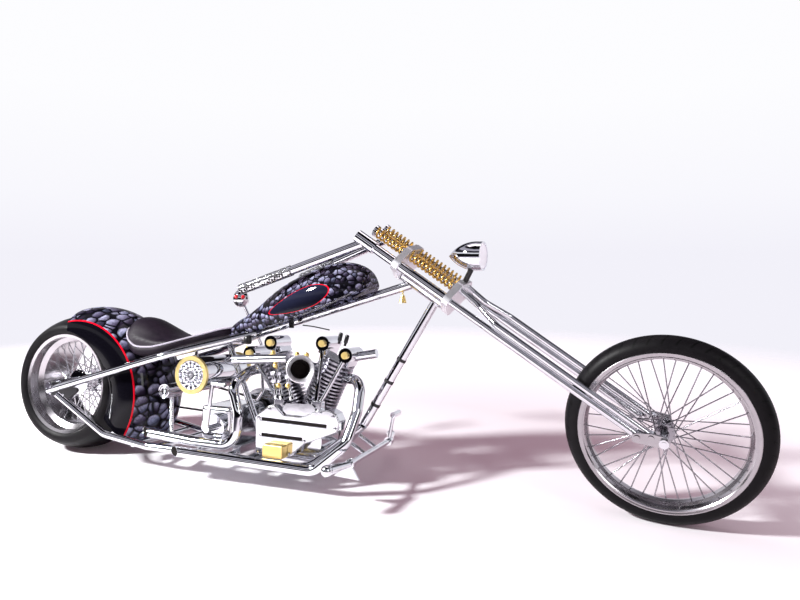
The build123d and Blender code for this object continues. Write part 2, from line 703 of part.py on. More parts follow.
case = cut(case, cross_front, barrels[0], barrels[1])
keep("chassis", "crankcase", case)
keep("chassis", "cylinders", Compound(children=barrels))
keep("chassis", "cylinder_heads", Compound(children=heads))
keep("chassis", "rocker_boxes", Compound(children=boxes))
keep("chassis", "rocker_nuts", Compound(children=nuts))

COVER_OUTLINE = [
    # ahead of the crank, above it
    (-168, 97),
    (-106, 146),
    (-71, 150),
    (-29, 114),
    (56, 114),
    (124, 146),
    (176, 152),
    (210, 138),
    (226, 106),
    (216, 64),
    (70, 2),
    (0, -60),
    (-160, -64),
]
COVER_SLOTS = [
    # from x, from z, to x, to z
    (-137, 88, 168, 84),
    (-135, 22, 59, 20),
]
COVER_Y = -150.0
cover_face = make_face(loop([(cx + x, cz + z) for x, z in COVER_OUTLINE]))
cover_face = fillet(cover_face.vertices(), 9)
cover_plane = Plane(origin=(0, COVER_Y, 0), x_dir=(1, 0, 0), z_dir=(0, -1, 0))
cover = extrude(cover_plane * cover_face, -CASE_HALF_W - COVER_Y, dir=(0, 1, 0))
cover = fillet(cover.faces().sort_by(Axis.Y)[0].edges(), 5)
boss = hull_plate([(cx - 16, cz + 138, 24), (cx + 84, cz + 140, 26)], COVER_Y + 12, -CASE_HALF_W)
cover += boss
for x0, z0, x1, z1 in COVER_SLOTS:
    cover -= hull_plate([(cx + x0, cz + z0, 9), (cx + x1, cz + z1, 9)], COVER_Y, COVER_Y + 4)
keep("chassis", "cam_cover", cover)
pump = block(cx - 100, cx - 5, -196, COVER_Y, cz - 60, cz - 6)
keep("chassis", "oil_pump", fillet(pump.edges(), 5))

LIFTERS = [
    # side, foot x, foot z
    (1, cx + 109, cz + 172),
    (-1, cx - 68, cz + 168),
]
tubes = []
for side, foot_x, foot_z in LIFTERS:
    place = cylinder_plane(side)
    pair = fillet(block(foot_x - 24, foot_x + 24, -130, -94, cz + 104, foot_z + 8).edges(), 5)
    for v, shift in ((ROCKER_V, 11), (-ROCKER_V, -11)):
        top = place.from_local_coords((v, -82, ROCKER_U - 6))
        pair += rod((foot_x + shift, -112, foot_z), tuple(top), 8.5)
    tubes.append(cut(pair, *boxes, *barrels, *heads, cover))
keep("chassis", "pushrod_tubes", Compound(children=tubes))

carb_z = cz + INTAKE_Z
carb_mouth = (cx + INTAKE_SHIFT, INTAKE_Y, carb_z)
carb = rod((cx, 10, carb_z), carb_mouth, 28)
carb += rod((cx + 14, -64, carb_z), (cx + 24, -112, carb_z), 37)
carb += rod((cx - 60, 0, carb_z), (cx + 60, 0, carb_z), 20)
carb = cut(carb, *heads, *barrels)
FUEL_RAIL = [(972.0, -152.0, carb_z + 24), (1236.0, -152.0, carb_z + 46)]
carb += rod(*FUEL_RAIL, 20)
carb += rod((1206, -152, carb_z + 40), (cx + 8, -88, carb_z + 12), 13)
keep("chassis", "carburettor", carb)
STACK_DIR = Vector(0.47, -0.87, 0.13).normalized()
STACK_EDGE = [
    # radius, along
    (29, 0),
    (34, 0),
    (34, 36),
    (44, 74),
    (57, 94),
    (54, 96),
    (41, 78),
    (29, 40),
]
stack = Plane(origin=carb_mouth, z_dir=STACK_DIR) * revolve(Plane.XZ * make_face(loop(STACK_EDGE)), Axis.Z)
keep("chassis", "velocity_stack", cut(stack, carb))

PIPE_BEND = 70.0
FRONT_PIPE = [
    (1430.0, -20.0, 450.0),
    (1538.0, -72.0, 450.0),
    (1548.0, -128.0, 330.0),
    (1528.0, -192.0, 205.0),
    (1400.0, -205.0, 92.0),
    (785.0, -238.0, 108.0),
]
REAR_PIPE = [
    (1064.0, -12.0, 462.0),
    (1000.0, -46.0, 462.0),
    (990.0, -186.0, 404.0),
    (1036.0, -198.0, 290.0),
    (1030.0, -204.0, 152.0),
    (830.0, -206.0, 152.0),
    (596.0, -206.0, 166.0),
]
front_pipe = cut(tube(FRONT_PIPE, PIPE_R, PIPE_BEND), *heads, *barrels)
rear_pipe = cut(tube(REAR_PIPE, PIPE_R, PIPE_BEND), *heads, *barrels)
keep("chassis", "exhaust_front", front_pipe)
keep("chassis", "exhaust_rear", rear_pipe)

# Gearbox, drive and primary
gx, _, gz = GEARBOX_C
gearbox = fillet(block(gx - 92, gx + 68, -120, 120, gz - 92, gz + 88).edges(), 18)
gearbox += disc(gx - 5, gz, 58, -150, -118)
sx, sz = MAIN_SHAFT
gearbox += disc(sx, sz, 22, 118, PRIMARY_Y)
gearbox += disc(sx, sz, SHAFT_PULLEY_R, DRIVE_Y, DRIVE_Y + DRIVE_W)
for x in (800.0, 960.0):
    y, z = rail_at(x)
    gearbox += block(x - 20, x + 20, -90, 90, z, gz - 80)
    gearbox = cut(gearbox, disc(x, z, 14, -300, 300))
keep("chassis", "gearbox", gearbox)
kick = disc(gx - 5, gz, 15, -196, -150)
kick += rod((gx - 5, -190, gz), (gx + 14, -190, gz + 200), 9)
kick += rod((gx + 14, -190, gz + 200), (gx + 84, -196, gz + 197), 10)
keep("chassis", "kick_lever", kick)

belt_gap = 0.3
ring_in = [(0, REAR_R, WHEEL_PULLEY_R + belt_gap), (sx, sz, SHAFT_PULLEY_R + belt_gap)]
ring_out = [(x, z, r + BELT_T) for x, z, r in ring_in]
span = (DRIVE_Y, DRIVE_Y + DRIVE_W)
keep("chassis", "drive_belt", cut(hull_plate(ring_out, *span), hull_plate(ring_in, *span)))
primary = hull_plate([(cx, cz, 82), (sx, sz, 100)], PRIMARY_Y, PRIMARY_Y + PRIMARY_W)
primary = fillet(primary.faces().sort_by(Axis.Y)[-1].edges(), 14)
primary += disc(sx, sz, 62, PRIMARY_Y + PRIMARY_W, PRIMARY_Y + PRIMARY_W + 10)
keep("chassis", "primary_cover", primary)

# Oil tank and filter
ox, _, oz = OIL_C
oil = disc(ox, oz, OIL_R, -OIL_HALF, OIL_HALF)
for side, hand in ((1, "left"), (-1, "right")):
    lug = rod((ox, side * 140, oz + OIL_R - 6), (ox, side * 140, oz + 118), 8)
    oil += cut(lug, upper_rails[hand])
keep("chassis", "oil_tank", oil)
caps = []
for side in (1, -1):
    caps.append(disc(ox, oz, OIL_R + 7, *sorted((side * OIL_HALF, side * (OIL_HALF + 14)))))
keep("chassis", "oil_tank_caps", Compound(children=caps))
fz = rail_at(610.0)[1]
oil_filter = disc(592, 340, 33, -130, -40)
oil_filter += cut(rod((606, -84, fz), (594, -84, 330), 9), disc(610, fz, 14, -200, 200))
keep("chassis", "oil_filter", oil_filter)

# Forward controls, hand shift, bell and fuel tap
CONTROL_X, CONTROL_Z = 1566.0, 145.0
controls = disc(CONTROL_X, CONTROL_Z, 12, -222, 222)
for side in (1, -1):
    controls += rod((1472, side * 62, 200), (CONTROL_X, side * 62, CONTROL_Z), 9)
controls = cut(controls, lower_rails["left"], lower_rails["right"])
for side in (1, -1):
    controls += disc(CONTROL_X, CONTROL_Z, 19, *sorted((side * 205, side * 232)))
for side in (1, -1):
    peg_end = (CONTROL_X - 34, side * 340, CONTROL_Z)
    controls += rod((CONTROL_X, side * 230, CONTROL_Z), peg_end, 13, 20)
    controls += Pos(CONTROL_X - 38, side * 352, CONTROL_Z) * Sphere(22)
pedal_outline = [
    (CONTROL_X, CONTROL_Z + 4),
    (CONTROL_X + 40, CONTROL_Z - 58),
    (CONTROL_X - 64, CONTROL_Z - 52),
]
controls += side_plate(loop(pedal_outline), -230, -220)
pedal_top = (CONTROL_X + 20, CONTROL_Z + 122)
controls += rod((CONTROL_X, 216, CONTROL_Z), (pedal_top[0], 216, pedal_top[1]), 8)
controls += disc(*pedal_top, 13, 205, 290)
keep("chassis", "forward_controls", controls)
lever = tube([(925, 112, 288), (925, 168, 330), (905, 168, 560), (829, 110, 760)], 8, 30)
lever = cut(lever, gearbox)
knob = Pos(826, 108, 778) * Sphere(25)
keep("chassis", "shift_lever", lever + knob)
bell_top = spine.from_local_coords((0, -TUBE_R, 735))
bell_shape = rod((bell_top.X, 0, bell_top.Z + 4), (bell_top.X, 0, bell_top.Z - 16), 3)
bell_shape += rod((bell_top.X, 0, bell_top.Z - 14), (bell_top.X, 0, bell_top.Z - 46), 8, 17)
keep("chassis", "bell", cut(bell_shape, backbone))
tap_at = spine.from_local_coords((-62, 2, 230))
tap = rod((tap_at.X, tap_at.Y, tap_at.Z + 4), (tap_at.X, tap_at.Y, tap_at.Z - 34), 11)
keep("chassis", "fuel_tap", cut(tap, tank))

# Side stand
STAND_AT = Vector(1150.0, 200.0, 74.0)
STAND_REACH = Vector(100.0, 158.0, 0.0)
STAND_STOWED = Vector(-0.99, 0.08, 0.1)
foot_point = STAND_AT + STAND_REACH
foot_floor = floor_z(foot_point.Y)
foot_centre = Vector(foot_point.X, foot_point.Y, foot_floor + 10)
leg_line = foot_centre - STAND_AT
leg_dir = leg_line.normalized()
stand_axis = leg_dir.cross(STAND_STOWED).normalized()
hinge = Plane(origin=STAND_AT, x_dir=leg_dir, z_dir=stand_axis)
SLEEVE_LOW, SLEEVE_HIGH = -14.0, 10.0
sleeve = rod((0, 0, SLEEVE_LOW), (0, 0, SLEEVE_HIGH), 16)
stand = hinge * (sleeve + rod((0, 0, 0), (leg_line.length, 0, 0), 9))
floor_plane = Plane(origin=foot_centre, z_dir=(0, -sin(lean), cos(lean)))
stand += floor_plane * Pos(0, 0, -9.9) * extrude(Circle(26), 8)
below_floor = floor_plane * Pos(0, 0, -9.9 - 60) * extrude(Circle(80), 60)
stand_bore = hinge * rod((0, 0, SLEEVE_LOW), (0, 0, SLEEVE_HIGH), 8 + RUN_FIT)
stand = cut(stand, below_floor, stand_bore)
keep("side_stand", "side_stand", stand)
pin_low, pin_high = SLEEVE_LOW - GAP, SLEEVE_HIGH + GAP
stand_pin = rod((0, 0, pin_low - 6), (0, 0, pin_high + 12), 8)
stand_pin += rod((0, 0, pin_low - 6), (0, 0, pin_low), 13)
stand_pin += rod((0, 0, pin_high), (0, 0, pin_high + 12), 14)
ry, rz = rail_at(STAND_AT.X)
stand_arm = rod((STAND_AT.X, ry, rz + 14), tuple(hinge.from_local_coords((0, 0, pin_high + 7))), 6)
keep("chassis", "stand_bracket", cut(hinge * stand_pin + stand_arm, lower_rails["left"]))

# Rest pose, then the origin under the middle of the whole bike
steering_axis = Axis((HEAD_X, 0, HEAD_Z), (-cos(fork), 0, sin(fork)))
rest = Location((0, 0, LIFT), (-LEAN, 0, 0))
placed = {}
for name, (body, shape) in PARTS.items():
    if body in ("steering", "front_wheel"):
        shape = shape.rotate(steering_axis, STEER_REST)
    placed[name] = rest * shape
boxes_all = [shape.bounding_box() for shape in placed.values()]
low_x = min(b.min.X for b in boxes_all)
high_x = max(b.max.X for b in boxes_all)
low_y = min(b.min.Y for b in boxes_all)
high_y = max(b.max.Y for b in boxes_all)
low_z = min(b.min.Z for b in boxes_all)
ORIGIN = Pos(-(low_x + high_x) / 2, -(low_y + high_y) / 2, -low_z)

if __name__ == "__main__":
    os.makedirs("parts", exist_ok=True)
    for name, shape in placed.items():
        export_step(ORIGIN * shape, "parts/" + name + ".step")
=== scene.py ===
import json
from math import cos, pi, radians, sin, sqrt, tau

import bpy
from mathutils import Matrix, Vector


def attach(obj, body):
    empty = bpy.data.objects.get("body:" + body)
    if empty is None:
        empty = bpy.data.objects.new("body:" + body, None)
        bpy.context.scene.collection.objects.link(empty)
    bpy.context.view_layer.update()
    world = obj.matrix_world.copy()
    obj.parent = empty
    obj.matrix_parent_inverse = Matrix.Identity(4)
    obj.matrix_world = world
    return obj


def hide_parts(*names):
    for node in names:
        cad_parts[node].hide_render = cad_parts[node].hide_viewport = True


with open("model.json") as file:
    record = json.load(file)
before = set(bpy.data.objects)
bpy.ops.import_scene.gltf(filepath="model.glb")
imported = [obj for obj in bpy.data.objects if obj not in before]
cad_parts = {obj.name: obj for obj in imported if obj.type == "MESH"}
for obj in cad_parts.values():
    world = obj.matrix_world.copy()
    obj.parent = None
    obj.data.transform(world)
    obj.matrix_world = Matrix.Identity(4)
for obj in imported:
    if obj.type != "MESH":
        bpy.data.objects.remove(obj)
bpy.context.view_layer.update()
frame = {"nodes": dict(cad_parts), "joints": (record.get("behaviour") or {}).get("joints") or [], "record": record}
NODES = frame["nodes"]
scene = bpy.context.scene
scene.view_settings.view_transform = "Standard"

# The bike's own upright frame, x = 0 below the rear axle: lean and place in the row
LEAN = radians(6.0)
JOINT = {j["name"]: j for j in frame["joints"]}
AXLE = Vector(JOINT["rear_wheel_spin"]["pos_m"])
REAR_R = 0.333
STANDING = Matrix.Translation(AXLE) @ Matrix.Rotation(-LEAN, 4, "X")
BIKE = STANDING @ Matrix.Translation((0, 0, -REAR_R))
TURN = BIKE.to_3x3()
# A direction that no axis of the bike is parallel to
ODD_WAY = Vector((0.31, 0.17, 0.93))


def row(point):
    """A point of the upright bike in millimetres, as a point of the row frame in metres."""
    return BIKE @ (Vector(point) / 1000)


def square_to(axis):
    """Two directions at right angles to an axis and to each other."""
    first = axis.cross(ODD_WAY).normalized()
    return first, axis.cross(first)


def circle(centre, first, second, radius, sides):
    """Points round a centre, in the plane of two directions."""
    turns = [k * tau / sides for k in range(sides)]
    return [centre + (first * cos(t) + second * sin(t)) * radius for t in turns]


def fill_ramp(node, stops):
    """Gives a colour ramp its stops: place, colour."""
    elements = node.color_ramp.elements
    while len(elements) < len(stops):
        elements.new(0.5)
    for element, (at, color) in zip(elements, stops):
        element.position = at
        element.color = (*color, 1)


SOCKETS = {
    "color": "Base Color",
    "metal": "Metallic",
    "rough": "Roughness",
    "normal": "Normal",
    "coat": "Coat Weight",
    "coat_rough": "Coat Roughness",
    "ior": "IOR",
    "transmission": "Transmission Weight",
    "specular": "Specular IOR Level",
    "emission": "Emission Color",
    "emission_strength": "Emission Strength",
}


class Mat:
    """A node material written as a few calls."""

    def __init__(self, name):
        self.mat = bpy.data.materials.new(name)
        self.mat.use_nodes = True
        self.tree = self.mat.node_tree
        self.tree.nodes.clear()
        self.out = self.tree.nodes.new("ShaderNodeOutputMaterial")
        self.bsdf = self.tree.nodes.new("ShaderNodeBsdfPrincipled")
        self.tree.links.new(self.bsdf.outputs[0], self.out.inputs[0])
        self.coord = self.tree.nodes.new("ShaderNodeTexCoord").outputs["Object"]

    def put(self, socket, value):
        if hasattr(value, "is_output"):
            self.tree.links.new(value, socket)
        else:
            socket.default_value = value

    def set(self, **values):
        for key, value in values.items():
            self.put(self.bsdf.inputs[SOCKETS[key]], value)
        return self

    def math(self, op, a, b=0.0):
        node = self.tree.nodes.new("ShaderNodeMath")
        node.operation = op
        self.put(node.inputs[0], a)
        self.put(node.inputs[1], b)
        return node.outputs[0]

    def mix(self, fac, a, b):
        node = self.tree.nodes.new("ShaderNodeMix")
        node.data_type = "RGBA"
        self.put(node.inputs["Factor"], fac)
        self.put(node.inputs[6], a)
        self.put(node.inputs[7], b)
        return node.outputs[2]

    def ramp(self, fac, *stops):
        node = self.tree.nodes.new("ShaderNodeValToRGB")
        fill_ramp(node, stops)
        self.put(node.inputs[0], fac)
        return node.outputs[0]

    def span(self, fac, low, high, a, b):
        node = self.tree.nodes.new("ShaderNodeMapRange")
        for socket, value in zip(node.inputs, (fac, low, high, a, b)):
            self.put(socket, value)
        return node.outputs[0]

    def noise(self, scale, detail=3.0, rough=0.5, coord=None, distort=0.0):
        node = self.tree.nodes.new("ShaderNodeTexNoise")
        self.put(node.inputs["Vector"], coord or self.coord)
        node.inputs["Scale"].default_value = scale
        node.inputs["Detail"].default_value = detail
        node.inputs["Roughness"].default_value = rough
        node.inputs["Distortion"].default_value = distort
        return node.outputs[0]

    def voronoi(self, scale, feature="F1", coord=None, randomness=1.0):
        node = self.tree.nodes.new("ShaderNodeTexVoronoi")
        node.feature = feature
        self.put(node.inputs["Vector"], coord or self.coord)
        node.inputs["Scale"].default_value = scale
        node.inputs["Randomness"].default_value = randomness
        return node

    def stretched(self, scale):
        node = self.tree.nodes.new("ShaderNodeMapping")
        self.put(node.inputs["Vector"], self.coord)
        node.inputs["Scale"].default_value = scale
        return node.outputs[0]

    def vector(self, op, a, b):
        node = self.tree.nodes.new("ShaderNodeVectorMath")
        node.operation = op
        self.put(node.inputs[0], a)
        self.put(node.inputs[1], b)
        return node

    def along(self, direction, origin):
        """Distance of the shaded point from origin along a direction of the row frame."""
        from_origin = self.vector("SUBTRACT", self.coord, origin).outputs[0]
        return self.vector("DOT_PRODUCT", from_origin, direction).outputs["Value"]

    def off_axis(self, direction, origin):
        """Distance of the shaded point from a line."""
        from_origin = self.vector("SUBTRACT", self.coord, origin).outputs[0]
        across = self.vector("CROSS_PRODUCT", from_origin, direction).outputs[0]
        node = self.tree.nodes.new("ShaderNodeVectorMath")
        node.operation = "LENGTH"
        self.put(node.inputs[0], across)
        return node.outputs["Value"]

    def polar(self, axis, origin):
        """Radius, angle and place along the axis of the shaded point."""
        axis = Vector(axis).normalized()
        first, second = square_to(axis)
        u, v = self.along(first, origin), self.along(second, origin)
        angle = self.math("ARCTAN2", v, u)
        return self.off_axis(axis, origin), angle, self.along(axis, origin)

    def bump(self, height, distance, strength=1.0, normal=None):
        node = self.tree.nodes.new("ShaderNodeBump")
        node.inputs["Strength"].default_value = strength
        node.inputs["Distance"].default_value = distance
        self.put(node.inputs["Height"], height)
        if normal is not None:
            self.put(node.inputs["Normal"], normal)
        return node.outputs[0]


DUST = (0.10, 0.09, 0.11, 1)


def plated(name, color, rough, smear, dust=0.12):
    """Plated or polished metal with faint smears, fine scratches and a little dust."""
    m = Mat(name)
    patch = m.noise(14, 4, 0.6)
    fine = m.noise(900, 2, 0.6, coord=m.stretched((1, 0.12, 1)))
    level = m.math("ADD", m.math("MULTIPLY", patch, smear), m.math("MULTIPLY", fine, 0.02))
    grey = m.mix(m.span(patch, 0.3, 0.7, dust, 0.0), (*color, 1), DUST)
    wave = m.bump(m.noise(26, 2), 0.0006, 0.2)
    scratch = m.bump(fine, 0.00002, 0.2, wave)
    level = m.math("ADD", level, rough - smear / 2)
    m.set(color=grey, metal=1.0, rough=level, normal=scratch)
    return m.mat


CHROME = plated("chrome_plate", (0.80, 0.81, 0.845), 0.035, 0.03)
GOLD = plated("gold_plate", (0.80, 0.50, 0.13), 0.17, 0.08)
BRASS = plated("polished_brass", (0.97, 0.74, 0.28), 0.36, 0.1, 0.03)
POLISHED = plated("polished_aluminium", (0.78, 0.79, 0.82), 0.10, 0.08)
RIM_PLATE = plated("rim_plate", (0.50, 0.48, 0.50), 0.2, 0.1, 0.2)
WIRE_PLATE = plated("wire_plate", (0.36, 0.35, 0.38), 0.12, 0.08, 0.2)
BRUSHED = plated("brushed_plate", (0.90, 0.90, 0.93), 0.42, 0.1, 0.03)

# Engine axes in the row frame
CRANK_X, CRANK_Z = 1255, 178
FRONT_TILT, REAR_TILT = radians(22.5), radians(26.5)
CRANK = row((CRANK_X, 0, CRANK_Z))
FRONT_BORE = TURN @ Vector((sin(FRONT_TILT), 0, cos(FRONT_TILT)))
REAR_BORE = TURN @ Vector((-sin(REAR_TILT), 0, cos(REAR_TILT)))
SIDEWAYS = TURN @ Vector((0, 1, 0))


def cast_fins():
    """Cast fins: bright edges, and the barrel walls between them painted near black as painted shade."""
    m = Mat("cast_fins")
    grain = m.noise(700, 3, 0.6)
    patch = m.noise(18, 4, 0.6)
    tone = m.ramp(patch, (0.3, (0.40, 0.39, 0.44)), (0.75, (0.62, 0.61, 0.67)))
    # Painted shade: near black on the barrel walls inside the fins' radius, round both bores
    deep = m.math("MINIMUM", m.off_axis(FRONT_BORE, CRANK), m.off_axis(REAR_BORE, CRANK))
    tone = m.mix(m.span(deep, 0.058, 0.072, 0.93, 0.0), tone, (0.03, 0.027, 0.04, 1))
    level = m.span(patch, 0.3, 0.7, 0.2, 0.34)
    m.set(color=tone, metal=0.9, rough=level, normal=m.bump(grain, 0.0002, 0.3))
    return m.mat


def satin_black():
    m = Mat("satin_black")
    grain = m.noise(900, 2, 0.6)
    patch = m.noise(20, 4, 0.6)
    tone = m.ramp(patch, (0.3, (0.004, 0.004, 0.005)), (0.75, (0.010, 0.009, 0.012)))
    m.set(color=tone, rough=m.span(patch, 0.3, 0.7, 0.24, 0.38), normal=m.bump(grain, 0.0001, 0.3))
    return m.mat


def belt_rubber():
    m = Mat("belt_rubber")
    grain = m.noise(1200, 3, 0.65)
    tone = m.ramp(m.noise(16, 5, 0.62), (0.25, (0.006, 0.006, 0.007)), (0.8, (0.016, 0.015, 0.017)))
    m.set(color=tone, rough=0.5, specular=0.3, normal=m.bump(grain, 0.0002, 0.35))
    return m.mat


# A whole number that keeps the sipes' count from going below zero
STAYS_ABOVE_ZERO = 50.0


def tyre_rubber(name, joint, tread_r, blocks, slant, wide):
    """Tyre with slanted sipes cut across the tread and moulding rings on the side walls."""
    m = Mat(name)
    radius, angle, across = m.polar(JOINT[joint]["axis"], JOINT[joint]["pos_m"])
    lean = m.math("MULTIPLY", m.math("ABSOLUTE", across), slant)
    around = m.math("MULTIPLY", angle, blocks / tau)
    turn = m.math("FRACT", m.math("ADD", around, m.math("ADD", lean, STAYS_ABOVE_ZERO)))
    sipe = m.math("LESS_THAN", turn, wide)
    edge = m.math("GREATER_THAN", m.math("ABSOLUTE", across), 0.006)
    tread = m.math("GREATER_THAN", radius, tread_r)
    cut = m.math("MULTIPLY", m.math("MULTIPLY", sipe, edge), tread)
    rings = m.math("SINE", m.math("MULTIPLY", radius, 2100.0))
    rings = m.math("MULTIPLY", rings, m.math("LESS_THAN", radius, tread_r - 0.012))
    patch = m.noise(16, 5, 0.62)
    tone = m.ramp(patch, (0.25, (0.0028, 0.0024, 0.0032)), (0.8, (0.0065, 0.0058, 0.0072)))
    # Painted shade: the sipes are painted darker than the rubber round them
    tone = m.mix(cut, tone, (0.001, 0.001, 0.0012, 1))
    grain = m.bump(m.noise(1200, 3, 0.65), 0.0002, 0.3)
    ridge = m.bump(rings, 0.0003, 0.3, grain)
    groove = m.bump(m.math("SUBTRACT", 1.0, cut), 0.0018, 0.7, ridge)
    m.set(color=tone, rough=m.span(patch, 0.25, 0.8, 0.40, 0.56), specular=0.13, normal=groove)
    return m.mat


FINS = cast_fins()
BLACK = satin_black()
BELT = belt_rubber()
FRONT_TYRE = tyre_rubber("front_tyre_rubber", "front_wheel_spin", 0.325, 44, 16.0, 0.16)
REAR_TYRE = tyre_rubber("rear_tyre_rubber", "rear_wheel_spin", 0.300, 30, 6.0, 0.10)


def cobbles(m, scale):
    """Airbrushed pebbles, violet and blue-grey, lit from above, with black joints."""
    noise = m.tree.nodes.new("ShaderNodeTexNoise")
    m.put(noise.inputs["Vector"], m.coord)
    noise.inputs["Scale"].default_value = scale * 0.7
    warp = m.tree.nodes.new("ShaderNodeVectorMath")
    warp.operation = "MULTIPLY_ADD"
    m.put(warp.inputs[0], noise.outputs["Color"])
    warp.inputs[1].default_value = (0.3 / scale,) * 3
    m.put(warp.inputs[2], m.coord)
    at = warp.outputs[0]
    cell = m.voronoi(scale, "F1", at, 0.75)
    edge = m.voronoi(scale, "DISTANCE_TO_EDGE", at, 0.75)
    split = m.tree.nodes.new("ShaderNodeSeparateColor")
    m.put(split.inputs[0], cell.outputs["Color"])
    body = m.ramp(
        split.outputs[0],
        (0.0, (0.022, 0.016, 0.034)),
        (0.35, (0.056, 0.043, 0.080)),
        (0.65, (0.090, 0.084, 0.150)),
        (1.0, (0.150, 0.185, 0.290)),
    )
    inside = m.vector("SUBTRACT", at, cell.outputs["Position"]).outputs[0]
    sunny = m.vector("DOT_PRODUCT", inside, TURN @ Vector((-0.35, -0.35, 0.87))).outputs["Value"]
    lit = m.span(sunny, -0.3 / scale, 0.42 / scale, 0.0, 1.0)
    top = m.mix(m.math("POWER", lit, 2.2), body, (0.42, 0.44, 0.62, 1))
    shade = m.mix(m.span(lit, 0.0, 0.35, 0.8, 0.0), top, (0.008, 0.006, 0.014, 1))
    speck = m.span(m.noise(scale * 4, 4, 0.65), 0.45, 0.7, 0.0, 0.7)
    mottled = m.mix(speck, shade, (0.014, 0.011, 0.024, 1))
    gap = m.span(edge.outputs["Distance"], 0.04, 0.15, 1.0, 0.0)
    joint = m.math("MAXIMUM", gap, m.span(cell.outputs["Distance"], 0.50, 0.66, 0.0, 1.0))
    return m.mix(joint, mottled, (0.003, 0.003, 0.005, 1))


def lacquer(m, color):
    flake = m.noise(2500, 1, 0.5)
    peel = m.noise(140, 2, 0.5)
    m.set(
        color=color,
        rough=m.span(flake, 0.3, 0.7, 0.2, 0.28),
        coat=0.3,
        coat_rough=0.04,
        specular=0.0,
        normal=m.bump(peel, 0.00012, 0.15),
    )
    return m.mat


RED_LINE = (0.62, 0.004, 0.018, 1)
NEAR_BLACK = (0.0028, 0.0026, 0.0045, 1)
# Pebbles to a metre
TANK_PEBBLES, FENDER_PEBBLES = 37, 20
# The tank's oval in metres; its half height is that of the rear, then of the front
OVAL_CENTRE = row((1256, 0, 770))
OVAL_SLOPE = radians(20.0)
OVAL_HALF_LENGTH, OVAL_HALF_HEIGHT = 0.159, (0.024, 0.050)
# The fender's centre in millimetres
FENDER_X, FENDER_Z = 105.0, 300.0
# The fender's paint in metres: the black side wall starts at this distance from the middle
# plane, inside the radius SIDE_R, and the red line runs round at LINE_R
FENDER_WALL_Y, FENDER_SIDE_R, FENDER_LINE_R = 0.1520, 0.3460, 0.3455
FENDER_LINE_HALF = 0.0030
# The rosette cap and the oil filter: centres, and radii in metres
CAP_CENTRE, PETALS_R, CAP_RIM_R = row((768, 0, 430)), 0.064, 0.0655
FILTER_CENTRE, FILTER_GROOVE_R = row((592, 0, 340)), 0.012


def tank_paint():
    """Pebbles, and on each side a navy-black oval with a red line, pointed to the rear."""
    m = Mat("tank_paint")
    ahead = TURN @ Vector((cos(OVAL_SLOPE), 0, sin(OVAL_SLOPE)))
    above = TURN @ Vector((-sin(OVAL_SLOPE), 0, cos(OVAL_SLOPE)))
    u = m.along(ahead, OVAL_CENTRE)
    v = m.along(above, OVAL_CENTRE)
    taper = m.span(u, -0.158, 0.09, *OVAL_HALF_HEIGHT)
    reach = m.math("POWER", m.math("DIVIDE", u, OVAL_HALF_LENGTH), 2.0)
    rise = m.math("POWER", m.math("DIVIDE", v, taper), 2.0)
    ring = m.math("SQRT", m.math("ADD", reach, rise))
    panel = m.math("LESS_THAN", ring, 1.0)
    line = m.math("LESS_THAN", m.math("ABSOLUTE", m.math("SUBTRACT", ring, 1.02)), 0.020)
    fade = m.span(v, -0.03, 0.04, 0.0, 1.0)
    navy = m.mix(fade, (0.004, 0.004, 0.009, 1), (0.016, 0.019, 0.042, 1))
    base = m.mix(panel, cobbles(m, TANK_PEBBLES), navy)
    return lacquer(m, m.mix(line, base, RED_LINE))


def fender_paint():
    """Pebbles between two red lines, and plain gloss black down the sides."""
    m = Mat("fender_paint")
    centre = row((FENDER_X, 0, FENDER_Z))
    radius = m.off_axis(SIDEWAYS, centre)
    y = m.math("ABSOLUTE", m.along(SIDEWAYS, centre))
    wall = m.math("GREATER_THAN", y, FENDER_WALL_Y)
    side = m.math("MULTIPLY", wall, m.math("LESS_THAN", radius, FENDER_SIDE_R))
    off_line = m.math("ABSOLUTE", m.math("SUBTRACT", radius, FENDER_LINE_R))
    line = m.math("MULTIPLY", wall, m.math("LESS_THAN", off_line, FENDER_LINE_HALF))
    base = m.mix(side, cobbles(m, FENDER_PEBBLES), NEAR_BLACK)
    return lacquer(m, m.mix(line, base, RED_LINE))


def leather():
    """Aubergine leather with pores, soft creases and a dull polish."""
    m = Mat("aubergine_leather")
    pores = m.voronoi(620, "DISTANCE_TO_EDGE")
    crease = m.noise(60, 5, 0.65, distort=0.6)
    tone = m.ramp(m.noise(24, 5, 0.6), (0.3, (0.006, 0.003, 0.008)), (0.75, (0.014, 0.008, 0.016)))
    grain = m.bump(pores.outputs["Distance"], 0.0005, 0.3)
    level = m.span(crease, 0.3, 0.7, 0.46, 0.6)
    folds = m.bump(crease, 0.0008, 0.15, grain)
    m.set(color=tone, rough=level, specular=0.16, normal=folds)
    return m.mat


def piping_cord():
    m = Mat("piping_cord")
    weave = m.math("SINE", m.math("MULTIPLY", m.along((1, 0, 0), (0, 0, 0)), 2400.0))
    tone = m.mix(m.noise(60, 3), (0.36, 0.35, 0.42, 1), (0.52, 0.50, 0.58, 1))
    m.set(color=tone, rough=0.42, normal=m.bump(weave, 0.0002, 0.4))
    return m.mat


def lamp_glass():
    """Fluted lamp glass, with a painted glow: it gives off a faint white light though the lamp is not lit."""
    m = Mat("lamp_glass")
    ribs = m.math("SINE", m.math("MULTIPLY", m.along(SIDEWAYS, (0, 0, 0)), 900.0))
    m.set(color=(0.93, 0.93, 0.97, 1), rough=0.06, transmission=0.35, ior=1.45)
    m.set(normal=m.bump(ribs, 0.0006, 0.3))
    # Painted glow: a faint white light from the glass, though the lamp is not lit
    m.set(emission=(0.95, 0.94, 1.0, 1), emission_strength=0.22)
    return m.mat


